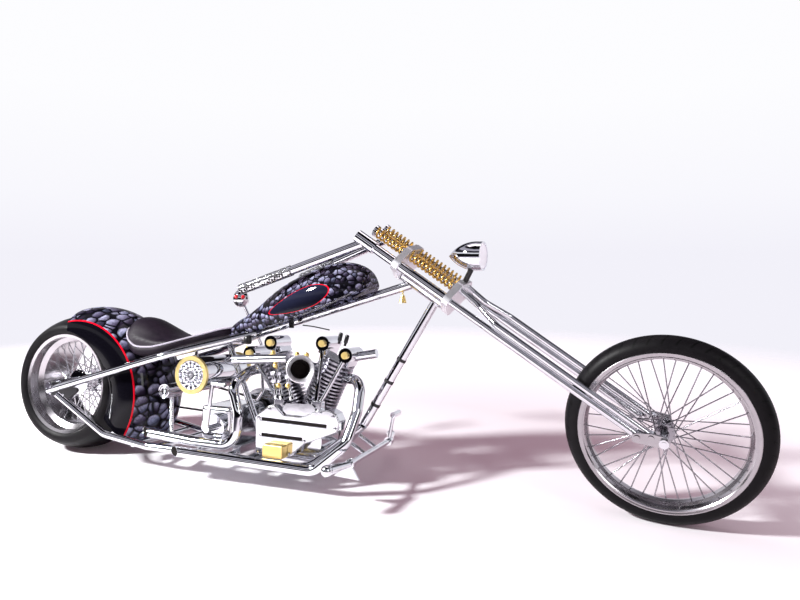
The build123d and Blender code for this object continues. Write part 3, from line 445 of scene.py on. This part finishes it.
def rosette_cap():
    """Gold rim round a chrome disc embossed with a rosette of petals."""
    m = Mat("rosette_cap")
    radius, angle, _ = m.polar(SIDEWAYS, CAP_CENTRE)
    petals = m.math("ABSOLUTE", m.math("SINE", m.math("MULTIPLY", angle, 8.0)))
    folds = m.math("SINE", m.math("MULTIPLY", radius, 330.0))
    flower = m.math("ADD", petals, m.math("MULTIPLY", folds, 0.5))
    relief = m.math("MULTIPLY", flower, m.math("LESS_THAN", radius, PETALS_R))
    rim = m.math("GREATER_THAN", radius, CAP_RIM_R)
    patch = m.noise(40, 4, 0.6)
    shade = m.span(flower, 0.1, 1.1, 1.0, 0.0)
    silver = m.mix(shade, (0.80, 0.81, 0.85, 1), (0.10, 0.10, 0.13, 1))
    tone = m.mix(rim, silver, (1.0, 0.80, 0.34, 1))
    level = m.math("ADD", m.span(patch, 0.3, 0.7, 0.12, 0.22), m.math("MULTIPLY", rim, 0.2))
    m.set(color=tone, metal=1.0, rough=level, normal=m.bump(relief, 0.004, 0.8))
    return m.mat


def turned_face():
    """Turned aluminium: rings about the filter's axis."""
    m = Mat("turned_face")
    radius, _, _ = m.polar(SIDEWAYS, FILTER_CENTRE)
    steps = m.math("SINE", m.math("MULTIPLY", radius, 620.0))
    # Painted shade: a narrow ring at the groove's radius is near black
    off_groove = m.math("ABSOLUTE", m.math("SUBTRACT", radius, FILTER_GROOVE_R))
    dark = m.math("LESS_THAN", off_groove, 0.004)
    tone = m.mix(dark, (0.80, 0.81, 0.85, 1), (0.05, 0.05, 0.06, 1))
    level = m.span(m.noise(60, 4), 0.3, 0.7, 0.06, 0.14)
    m.set(color=tone, metal=1.0, rough=level, normal=m.bump(steps, 0.002, 0.6))
    return m.mat


def pierced_grip():
    """Chrome sleeve with rows of small dark holes."""
    m = Mat("pierced_grip")
    holes = m.voronoi(84, "F1", randomness=0.3)
    hole = m.span(holes.outputs["Distance"], 0.44, 0.52, 1.0, 0.0)
    tone = m.mix(hole, (0.80, 0.81, 0.84, 1), (0.004, 0.004, 0.005, 1))
    m.set(color=tone, metal=m.math("SUBTRACT", 1.0, hole), rough=m.span(hole, 0.0, 1.0, 0.06, 0.6))
    m.set(normal=m.bump(hole, -0.001, 0.8))
    return m.mat


# Near-black soot; the same material stands as painted shade in the exhaust bores, the velocity stack's throat and
# the cam cover's slots
def soot_and_painted_shade():
    m = Mat("soot_and_painted_shade")
    tone = m.mix(m.noise(120, 4, 0.7), (0.004, 0.004, 0.004, 1), (0.018, 0.015, 0.014, 1))
    m.set(color=tone, rough=0.8, specular=0.1)
    return m.mat


def red_jewel():
    m = Mat("red_jewel")
    facet = m.voronoi(500, "F1").outputs["Distance"]
    tone = m.mix(facet, (0.75, 0.004, 0.012, 1), (0.35, 0.001, 0.006, 1))
    m.set(color=tone, rough=0.08, coat=1.0)
    # Painted glow: the jewels give off a faint red light, though they are no lamps
    m.set(emission=(0.8, 0.01, 0.02, 1), emission_strength=0.25)
    return m.mat


LEATHER = leather()
SOOT_AND_SHADE = soot_and_painted_shade()
JEWEL = red_jewel()
PIPING = piping_cord()
LOOKS = {
    "tyre": FRONT_TYRE,
    "paint": tank_paint(),
    "black_steel": BLACK,
    "seat_leather": LEATHER,
    "brass": BRASS,
    "gold_plate": GOLD,
    "aluminium": POLISHED,
    "engine_fins": FINS,
    "glass": lamp_glass(),
    "belt": BELT,
    "chrome": CHROME,
}
SPECIAL = {
    "rear_fender": fender_paint(),
    "rear_tyre": REAR_TYRE,
    "oil_tank_caps": rosette_cap(),
    "grips": pierced_grip(),
    "fork_trees": BRUSHED,
    "rear_rim": RIM_PLATE,
    "front_rim": RIM_PLATE,
    "velocity_stack": BRUSHED,
    "rocker_boxes": CHROME,
    "fork_rockers": RIM_PLATE,
    "front_hub_spokes": WIRE_PLATE,
    "oil_filter": turned_face(),
    "rocker_nuts": BRASS,
}
SLOT_OF = {s["node"]: s["material_slot"] for s in frame["record"]["subparts"]}
for name, node in NODES.items():
    node.data.materials.clear()
    node.data.materials.append(SPECIAL.get(name) or LOOKS[SLOT_OF[name]])


SHARP_ABOVE = radians(38)


class Build:
    """One piece, gathered from simple forms in the upright frame, in millimetres."""

    def __init__(self):
        self.verts = []
        self.faces = []

    def rings(self, rings, caps=True, closed=False):
        """Skin through rings of points that all have the same count."""
        start, count = len(self.verts), len(rings[0])
        for ring in rings:
            self.verts.extend(row(p) for p in ring)
        pairs = len(rings) if closed else len(rings) - 1
        for i in range(pairs):
            a, b = start + i * count, start + (i + 1) % len(rings) * count
            for k in range(count):
                n = (k + 1) % count
                self.faces.append((a + k, a + n, b + n, b + k))
        if caps and not closed:
            self.faces.append(tuple(range(start + count - 1, start - 1, -1)))
            last = start + (len(rings) - 1) * count
            self.faces.append(tuple(range(last, last + count)))
        return self

    def lathe(self, centre, axis, profile, sides=20, closed=False):
        """Turned form: profile rows are radius, height along the axis."""
        centre, axis = Vector(centre), Vector(axis).normalized()
        first, second = square_to(axis)
        made = [circle(centre + axis * h, first, second, r, sides) for r, h in profile]
        return self.rings(made, closed=closed)

    def pipe(self, points, radius, sides=12, closed=False):
        """Round tube along a line of points."""
        points = [Vector(p) for p in points]
        count = len(points)
        side = None
        made = []
        for i, p in enumerate(points):
            before = points[i - 1] if i or closed else p
            after = points[(i + 1) % count] if i < count - 1 or closed else p
            ahead = (after - before).normalized()
            if side is None:
                side = ahead.cross(ODD_WAY).normalized()
            side = (side - ahead * side.dot(ahead)).normalized()
            made.append(circle(p, side, ahead.cross(side), radius, sides))
        return self.rings(made, closed=closed)

    def done(self, name, mat, slot, body="chassis"):
        mesh = bpy.data.meshes.new(name)
        mesh.from_pydata(self.verts, [], self.faces)
        mesh.materials.append(mat)
        mesh.polygons.foreach_set("use_smooth", [True] * len(mesh.polygons))
        mesh.update()
        obj = bpy.data.objects.new(name, mesh)
        scene.collection.objects.link(obj)
        mesh.set_sharp_from_angle(angle=SHARP_ABOVE)
        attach(obj, body)
        return obj


def curve(points, steps=6):
    """Smooth line through points of two or more coordinates."""
    points = [Vector(p) for p in points]
    line = []
    for i in range(len(points) - 1):
        a, b = points[max(i - 1, 0)], points[i]
        c, d = points[i + 1], points[min(i + 2, len(points) - 1)]
        for k in range(steps):
            t = k / steps
            square = (a * 2 - b * 5 + c * 4 - d) * t * t
            cube = (b * 3 - a - c * 3 + d) * t ** 3
            line.append((b * 2 + (c - a) * t + square + cube) / 2)
    return line + [points[-1]]


# Seat: one padded skin over the CAD pad, with a piped seam
SEAT_SECTIONS = [
    # x, half width, skirt, seam, crest
    (312, 8, 640, 646, 650),
    (317, 34, 624, 641, 657),
    (330, 72, 600, 626, 667),
    (348, 108, 566, 600, 675),
    (372, 129, 534, 571, 679),
    (404, 137, 504, 549, 676),
    (440, 140, 486, 538, 666),
    (510, 141, 494, 540, 633),
    (566, 138, 512, 551, 606),
    (632, 120, 540, 571, 590),
    (695, 92, 560, 592, 600),
    (755, 70, 578, 611, 616),
    (810, 50, 594, 629, 634),
    (846, 34, 605, 638, 642),
    (862, 20, 614, 640, 643),
    (867, 6, 622, 638, 640),
]
FENDER_CROWN = 415.0
CROWN_CURVE = 224.8
CROWN_HUB = FENDER_CROWN - CROWN_CURVE
SEAT_TOP_STEPS = 18
SEAT_BETWEEN = 4
PIPING_R, PIPING_OUT = 4.4, 3.0
# Cloth: pressure, frames, and how far in metres a point may move
SWELL_PRESSURE, SWELL_FRAMES, SEAT_SWELL = 4.0, 20, 0.006


def above_fender(point, gap=1.0):
    """The point, lifted out of the fender where it lies inside it."""
    x, y, z = point
    crown = CROWN_HUB + sqrt(max(CROWN_CURVE ** 2 - y * y, 0)) + gap
    ahead = x - FENDER_X
    if abs(ahead) < crown:
        z = max(z, FENDER_Z + sqrt(crown ** 2 - ahead * ahead))
    return Vector((x, y, z))


def seat_ring(x, wide, skirt, seam, crest):
    """Closed section: crowned top from seam to seam, then the skirts and the base."""
    top = []
    for k in range(SEAT_TOP_STEPS + 1):
        t = cos(pi * k / SEAT_TOP_STEPS)
        top.append(Vector((x, -wide * t, seam + (crest - seam) * (1 - abs(t) ** 2.3) ** 0.62)))
    flare = min(wide * 0.12, 9.0)
    fall = seam - skirt
    low = [
        Vector((x, wide + flare * 0.7, seam - fall * 0.14)),
        Vector((x, wide + flare, seam - fall * 0.5)),
        Vector((x, wide + flare * 0.6, skirt)),
        above_fender((x, wide * 0.5, skirt)),
        above_fender((x, 0, skirt)),
        above_fender((x, -wide * 0.5, skirt)),
        Vector((x, -wide - flare * 0.6, skirt)),
        Vector((x, -wide - flare, seam - fall * 0.5)),
        Vector((x, -wide - flare * 0.7, seam - fall * 0.14)),
    ]
    return top + low


def swell(obj, free, cap):
    """Blows the pad up as cloth, with all but the free vertices held and each move capped."""
    held = obj.vertex_groups.new(name="held")
    held.add([v.index for v in obj.data.vertices if v.index not in free], 1.0, "REPLACE")
    cloth = obj.modifiers.new("swell", "CLOTH")
    cloth.settings.vertex_group_mass = "held"
    cloth.settings.use_pressure = True
    cloth.settings.uniform_pressure_force = SWELL_PRESSURE
    cloth.settings.effector_weights.gravity = 0.0
    rest = [v.co.copy() for v in obj.data.vertices]
    for step in range(1, SWELL_FRAMES + 1):
        scene.frame_set(step)
    made = obj.evaluated_get(bpy.context.evaluated_depsgraph_get()).to_mesh()
    for v, old, new in zip(obj.data.vertices, rest, made.vertices):
        move = new.co - old
        v.co = old + move * min(1.0, cap / max(move.length, 1e-9))
    obj.modifiers.remove(cloth)
    scene.frame_set(1)


def seat():
    lower = curve([s[:3] for s in SEAT_SECTIONS], SEAT_BETWEEN)
    upper = curve([(*s[3:], 0) for s in SEAT_SECTIONS], SEAT_BETWEEN)
    rows = [(*a, b.x, b.y) for a, b in zip(lower, upper)]
    rings = [seat_ring(*r) for r in rows]
    pad = Build().rings(rings).done("seat_pad", LEATHER, "seat_leather")
    size = len(rings[0])
    free = {i for i in range(len(pad.data.vertices)) if 1 < i % size < SEAT_TOP_STEPS - 1}
    swell(pad, free, SEAT_SWELL)
    pad.modifiers.new("round", "SUBSURF").render_levels = 1
    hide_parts("seat")
    right = [(x, -w - PIPING_OUT, seam) for x, w, _, seam, _ in rows]
    left = [(x, w + PIPING_OUT, seam) for x, w, _, seam, _ in reversed(rows)]
    piping = Build().pipe(right + left, PIPING_R, 8, closed=True)
    piping.done("seat_piping", PIPING, "seat_leather")


seat()

# Exhaust ends, cut on the slant, with a dark bore: soot, and painted shade in the pipe's depth
PIPE_R, PIPE_SLASH = 22.0, 66
LIP_R, BORE_R = PIPE_R - 2.4, PIPE_R - 2.6
EXHAUST_ENDS = [
    # end of the pipe, way it points
    ((785, -238, 108), (-615, -33, 16)),
    ((596, -206, 166), (-234, 0, 14)),
]
TIP_RINGS = [
    # radius, reach on the outer side, reach on the inner side
    (PIPE_R, 0.4, 0.4),
    (PIPE_R, 2, PIPE_SLASH),
    (PIPE_R - 1, 3.2, PIPE_SLASH + 1),
    (LIP_R, 2, PIPE_SLASH),
    (LIP_R, 0.6, 0.6),
]
BORE_RINGS = [(BORE_R, 0.8, 0.8), (BORE_R, 1.4, PIPE_SLASH - 2), (0.4, 1.2, 1.2)]


def slanted(end, way, rings):
    """Rings round the end of a pipe, each cut on a slant that faces outwards."""
    end, way, outwards = Vector(end), Vector(way).normalized(), Vector((0, -1, 0))
    out = (outwards - way * way.dot(outwards)).normalized()
    up = way.cross(out)
    made = []
    for radius, low, high in rings:
        reach = [low + (high - low) * (1 - cos(k * tau / 32)) / 2 for k in range(32)]
        made.append([p + way * r for p, r in zip(circle(end, out, up, radius, 32), reach)])
    return made


tips, bores = Build(), Build()
for end, way in EXHAUST_ENDS:
    tips.rings(slanted(end, way, TIP_RINGS))
    bores.rings(slanted(end, way, BORE_RINGS))
tips.done("exhaust_tips", CHROME, "chrome")
bores.done("exhaust_bores", SOOT_AND_SHADE, "black_steel")

# Painted shade: a dark throat in the velocity stack and dark floors in the cam cover's slots
STACK_FROM, STACK_WAY = Vector((1283, -128, 484)), Vector((0.47, -0.87, 0.13))
THROAT = [(28, 39), (38.6, 72), (37.4, 72.4), (26, 42), (2, 41)]
COVER_Y, COVER_SLOT_R = -128.0, 19.6
COVER_SLOTS = [
    # from x, from z, to x, to z
    (1118, 266, 1423, 262),
    (1120, 200, 1314, 198),
]
dark = Build().lathe(STACK_FROM, STACK_WAY, THROAT, 36)
for x0, z0, x1, z1 in COVER_SLOTS:
    dark.pipe([(x0, COVER_Y, z0), (x1, COVER_Y, z1)], COVER_SLOT_R, 48)
dark.done("dark_throats", SOOT_AND_SHADE, "black_steel")

# Bolt heads: place, way out, radius
CAM_Y, PLATE_XS, PLATE_Y, PLATE_Z = -150.4, (1, 81), 212.4, 296
BOLTS = [((x, -PLATE_Y, PLATE_Z), (0, -1, 0), 6.0) for x in PLATE_XS]
BOLTS += [((x, PLATE_Y, PLATE_Z), (0, 1, 0), 6.0) for x in PLATE_XS]
CAM_BOLTS = [
    # x and z from the crank
    (-150, 92),
    (-98, 132),
    (140, 138),
    (198, 126),
    (208, 78),
    (70, 14),
    (0, -46),
    (-150, -52),
]
BOLTS += [((CRANK_X + x, CAM_Y, CRANK_Z + z), (0, -1, 0), 6.5) for x, z in CAM_BOLTS]
# Radius and height, for a bolt of radius 1
BOLT_HEAD = [(1, 0), (1, 0.55), (0.8, 0.8), (0.5, 0.85), (0.45, 0.5)]
heads = Build()
for place, way, r in BOLTS:
    heads.lathe(place, way, [(r * wide, r * high) for wide, high in BOLT_HEAD], 16)
heads.done("bolt_heads", CHROME, "chrome")

# Brass fittings round the carburettor and on the switch under the tank: radius, height
KNURLED = [(5, -10), (5, 0), (9, 0), (10, 2), (10, 10), (9, 12), (5, 12.5), (4.6, 17), (2, 18)]
UNION = [(4, 0), (4, 12), (8, 13), (8, 22), (4, 23), (4, 30), (7, 31), (7, 36), (2, 38)]
FITTINGS = [
    (1160, -140, 545),
    (1274, -140, 545),
    (1319, -140, 545),
    (1179, -150, 492),
    (1192, -140, 408),
    (1236, -140, 410),
]
brass = Build()
for place in FITTINGS:
    brass.lathe(place, (0.1, -0.75, 0.65), KNURLED, 14)
brass.lathe((974, -62, 566), (0.3, -0.3, -0.9), UNION, 14)
brass.done("brass_fittings", BRASS, "brass")

# Oil lines beside the rear barrel, each with three nuts
OIL_LINE_R = 7.0
OIL_NUT = [(7.2, -8), (10.5, -6.5), (10.5, 6.5), (7.2, 8)]
OIL_NUTS_AT = (0.06, 0.34, 0.9)
OIL_LINES = [
    # top, foot
    ((1153, -131, 468), (1180, -131, 350)),
    ((1182, -131, 468), (1203, -131, 350)),
    ((1224, -131, 456), (1252, -131, 352)),
]
lines = Build()
for top, foot in OIL_LINES:
    top, foot = Vector(top), Vector(foot)
    lines.pipe([top, foot], OIL_LINE_R, 14)
    for share in OIL_NUTS_AT:
        lines.lathe(top.lerp(foot, share), foot - top, OIL_NUT, 6)
lines.done("oil_lines", CHROME, "chrome")

# Black switch, plug caps, throttle rod and the clips on the down tube
SWITCH = [(10, 0), (17, 3), (18, 8), (18, 26), (15, 32), (6, 34)]
PLUG_CAP = [(6, 0), (6, 12), (9, 14), (9, 44), (7, 48), (3, 49)]
PLUG_CAPS = [
    # foot, way up
    ((1418, -44, 596), (0.25, -0.1, 1)),
    ((1446, -44, 588), (0.3, -0.12, 1)),
]
THROTTLE_ROD, THROTTLE_R = [(1252, -62, 668), (1300, -54, 664), (1372, -44, 652)], 2.6
DOWN_FOOT, DOWN_TOP = Vector((1530, 0, 258)), Vector((1836, 0, 806))
CLIP = [(19.2, -7), (21, -6.4), (21, 6.4), (19.2, 7)]
CLIPS_AT = (0.16, 0.345, 0.515)
black = Build().lathe((980, -62, 606), (0.1, -0.2, -1), SWITCH, 18)
for foot, way in PLUG_CAPS:
    black.lathe(foot, way, PLUG_CAP, 16)
black.pipe(curve(THROTTLE_ROD), THROTTLE_R, 8)
for share in CLIPS_AT:
    black.lathe(DOWN_FOOT.lerp(DOWN_TOP, share), DOWN_TOP - DOWN_FOOT, CLIP, 28)
black.done("black_fittings", BLACK, "black_steel")

# Fluted ball on the hand shift, with jewel eyes
KNOB_C, KNOB_R, KNOB_FLUTES = Vector((820, 108, 778)), 40.0, 9
KNOB_ROWS, KNOB_SIDES = 16, 72
FLUTE_DEPTH, KNOB_STRETCH = 0.07, 1.08
JEWEL_SHAPE = [(10, 0), (10, 4), (8, 8), (4, 10), (1, 10.5)]
JEWEL_TURNS = (radians(-92), radians(-40))
ball = []
for i in range(1, KNOB_ROWS):
    lift = pi * i / KNOB_ROWS - pi / 2
    ring = []
    for k in range(KNOB_SIDES):
        t = k * tau / KNOB_SIDES
        r = KNOB_R * cos(lift) * (1 - FLUTE_DEPTH * abs(sin(KNOB_FLUTES * t / 2)))
        ring.append(KNOB_C + Vector((r * cos(t), r * sin(t), KNOB_R * KNOB_STRETCH * sin(lift))))
    ball.append(ring)
Build().rings(ball).done("shift_knob", CHROME, "chrome")
jewels = Build()
for t in JEWEL_TURNS:
    way = Vector((cos(t), sin(t), 0.2)).normalized()
    jewels.lathe(KNOB_C + way * (KNOB_R - 5), way, JEWEL_SHAPE, 18)
jewels.done("knob_jewels", JEWEL, "chrome")

# Plated bands on both sides of the front rim, over the tyre's beads
BAND_SECTION = [
    # radius from the rim's edge, height from the tyre's wall
    (-7, -7),
    (-7, 1.5),
    (-3, 3),
    (1, 1.2),
    (5, 2.8),
    (9, 2.0),
    (11, 0),
    (11, -4),
]
FRONT_R, FRONT_TYRE_R, FRONT_RIM_R = 350.0, 47.5, 286.0
spin = JOINT["front_wheel_spin"]
wheel_c = BIKE.inverted() @ Vector(spin["pos_m"]) * 1000
wheel_way = TURN.inverted() @ Vector(spin["axis"])
bands = Build()
for side in (-1, 1):
    profile = []
    for out, proud in BAND_SECTION:
        inward = FRONT_R - FRONT_TYRE_R - FRONT_RIM_R - out
        wall = sqrt(max(FRONT_TYRE_R ** 2 - inward ** 2, 0))
        profile.append((FRONT_RIM_R + out, side * (wall + proud)))
    bands.lathe(wheel_c, wheel_way, profile, 96, closed=True)
bands.done("front_rim_bands", RIM_PLATE, "chrome", "front_wheel")

# Stage: pale floor, soft light and the photograph's camera
FLOOR_SIZE = 24
# Distances from the middle in metres: where the paper brightens, and where it fades away
BRIGHTENS, FADES = (1.4, 3.6), (2.8, 5.5)
AMBIENT, AMBIENT_COLOR = 0.42, (0.58, 0.26, 0.37, 1)
LAMPS = [
    # name, place, aim, size, watts, colour
    ("key", (-4.5, -3.4, 4.3), (0.2, 0, 0.3), (0.7, 0.7), 960, (1, 1, 1)),
    ("top", (0.0, 0.5, 4.2), (0.1, 0, 0), (2.6, 1.2), 20, (1.0, 0.90, 0.94)),
    ("right", (3.6, -2.2, 2.0), (0.9, 0, 0.4), (0.5, 2.0), 22, (1, 1, 1)),
]


def paper_floor():
    """White paper that fades into the backdrop; far off it is brighter to the camera alone."""
    bpy.ops.mesh.primitive_plane_add(size=FLOOR_SIZE, location=(0, 0, 0))
    floor = bpy.context.object
    floor.name = "floor"
    m = Mat("floor_paper")
    tone = m.mix(m.noise(0.6, 3), (0.87, 0.86, 0.89, 1), (0.90, 0.89, 0.92, 1))
    m.set(color=tone, rough=0.7, specular=0.1)
    split = m.tree.nodes.new("ShaderNodeSeparateXYZ")
    m.put(split.inputs[0], m.coord)
    squares = [m.math("POWER", split.outputs[i], 2.0) for i in range(2)]
    far = m.math("SQRT", m.math("ADD", *squares))
    path = m.tree.nodes.new("ShaderNodeLightPath").outputs["Is Camera Ray"]
    glow = m.math("MULTIPLY", path, m.span(far, *BRIGHTENS, 0.02, 0.75))
    m.set(emission=(0.96, 0.95, 1.0, 1), emission_strength=glow)
    clear = m.tree.nodes.new("ShaderNodeBsdfTransparent")
    mix = m.tree.nodes.new("ShaderNodeMixShader")
    m.put(mix.inputs[0], m.span(far, *FADES, 0.0, 1.0))
    m.put(mix.inputs[1], m.bsdf.outputs[0])
    m.put(mix.inputs[2], clear.outputs[0])
    m.put(m.out.inputs[0], mix.outputs[0])
    floor.data.materials.append(m.mat)


def area(name, place, aim, size, power, color):
    data = bpy.data.lights.new(name, "AREA")
    data.shape = "RECTANGLE"
    data.size, data.size_y = size
    data.energy = power
    data.color = color
    lamp = bpy.data.objects.new(name, data)
    scene.collection.objects.link(lamp)
    lamp.location = place
    lamp.rotation_euler = (Vector(aim) - Vector(place)).to_track_quat("-Z", "Y").to_euler()


def studio_world():
    """White paper to the camera, a dark room with strips to mirrors, dim mauve to the rest."""
    world = bpy.data.worlds.new("studio")
    scene.world = world
    world.use_nodes = True
    tree = world.node_tree
    tree.nodes.clear()
    link = tree.links.new

    def node(kind):
        return tree.nodes.new("ShaderNode" + kind)

    def ramp(fac, stops):
        made = node("ValToRGB")
        fill_ramp(made, stops)
        link(fac, made.inputs[0])
        return made.outputs[0]

    def half(value):
        made = node("Math")
        made.operation = "MULTIPLY_ADD"
        link(value, made.inputs[0])
        made.inputs[1].default_value = 0.5
        made.inputs[2].default_value = 0.5
        return made.outputs[0]

    def blend(fac, a, b):
        made = node("MixShader")
        link(fac, made.inputs[0])
        link(a, made.inputs[1])
        link(b, made.inputs[2])
        return made.outputs[0]

    def sky(color, strength):
        made = node("Background")
        if hasattr(color, "is_output"):
            link(color, made.inputs[0])
        else:
            made.inputs[0].default_value = color
        made.inputs[1].default_value = strength
        return made.outputs[0]

    split = node("SeparateXYZ")
    link(node("TexCoord").outputs["Generated"], split.inputs[0])
    height = half(split.outputs["Z"])
    dark, black, white = (0.05, 0.045, 0.06), (0.003, 0.003, 0.004), (0.92, 0.91, 0.97)
    room = ramp(height, (
        (0.0, (0.80, 0.76, 0.82)),
        (0.40, (0.80, 0.77, 0.84)),
        (0.470, (0.16, 0.14, 0.18)),
        (0.500, black),
        (0.632, black),
        (0.645, white),
        (0.700, white),
        (0.712, black),
        (0.800, dark),
        (0.815, (0.50, 0.48, 0.56)),
        (0.880, (0.40, 0.38, 0.45)),
        (0.900, black),
    ))
    sweep = ramp(height, (
        (0.0, (0.80, 0.76, 0.82)),
        (0.55, (0.95, 0.94, 1.0)),
        (0.70, (0.62, 0.60, 0.68)),
        (0.74, black),
        (0.86, black),
        (0.88, (0.4, 0.38, 0.45)),
    ))
    behind = ramp(half(split.outputs["Y"]), ((0.62, (0, 0, 0)), (0.68, (1, 1, 1))))
    mirror = node("Mix")
    mirror.data_type = "RGBA"
    link(behind, mirror.inputs["Factor"])
    link(room, mirror.inputs[6])
    link(sweep, mirror.inputs[7])
    paper = ramp(height, (
        (0.50, (0.89, 0.88, 0.95)),
        (0.545, (0.94, 0.935, 0.985)),
        (0.62, (0.98, 0.98, 1.0)),
    ))
    path = node("LightPath")
    ambient = sky(AMBIENT_COLOR, AMBIENT)
    seen = blend(path.outputs["Is Glossy Ray"], ambient, sky(mirror.outputs[2], 1.0))
    link(blend(path.outputs["Is Camera Ray"], seen, sky(paper, 1.0)), node("OutputWorld").inputs[0])


paper_floor()
studio_world()
for lamp in LAMPS:
    area(*lamp)

CAMERA_FROM_AXLE = Vector((2.4583, -2.2540, 0.6522))
CAMERA_YAW = radians(18.863)
CAMERA_PITCH = radians(4.643)
CAMERA_LENS, CAMERA_SENSOR = 26.12, 36.0
cam_data = bpy.data.cameras.new("camera")
cam_data.lens, cam_data.sensor_width = CAMERA_LENS, CAMERA_SENSOR
cam = bpy.data.objects.new("camera", cam_data)
scene.collection.objects.link(cam)
cam.location = AXLE + CAMERA_FROM_AXLE
cam.rotation_euler = (pi / 2 - CAMERA_PITCH, 0, CAMERA_YAW)
scene.camera = cam
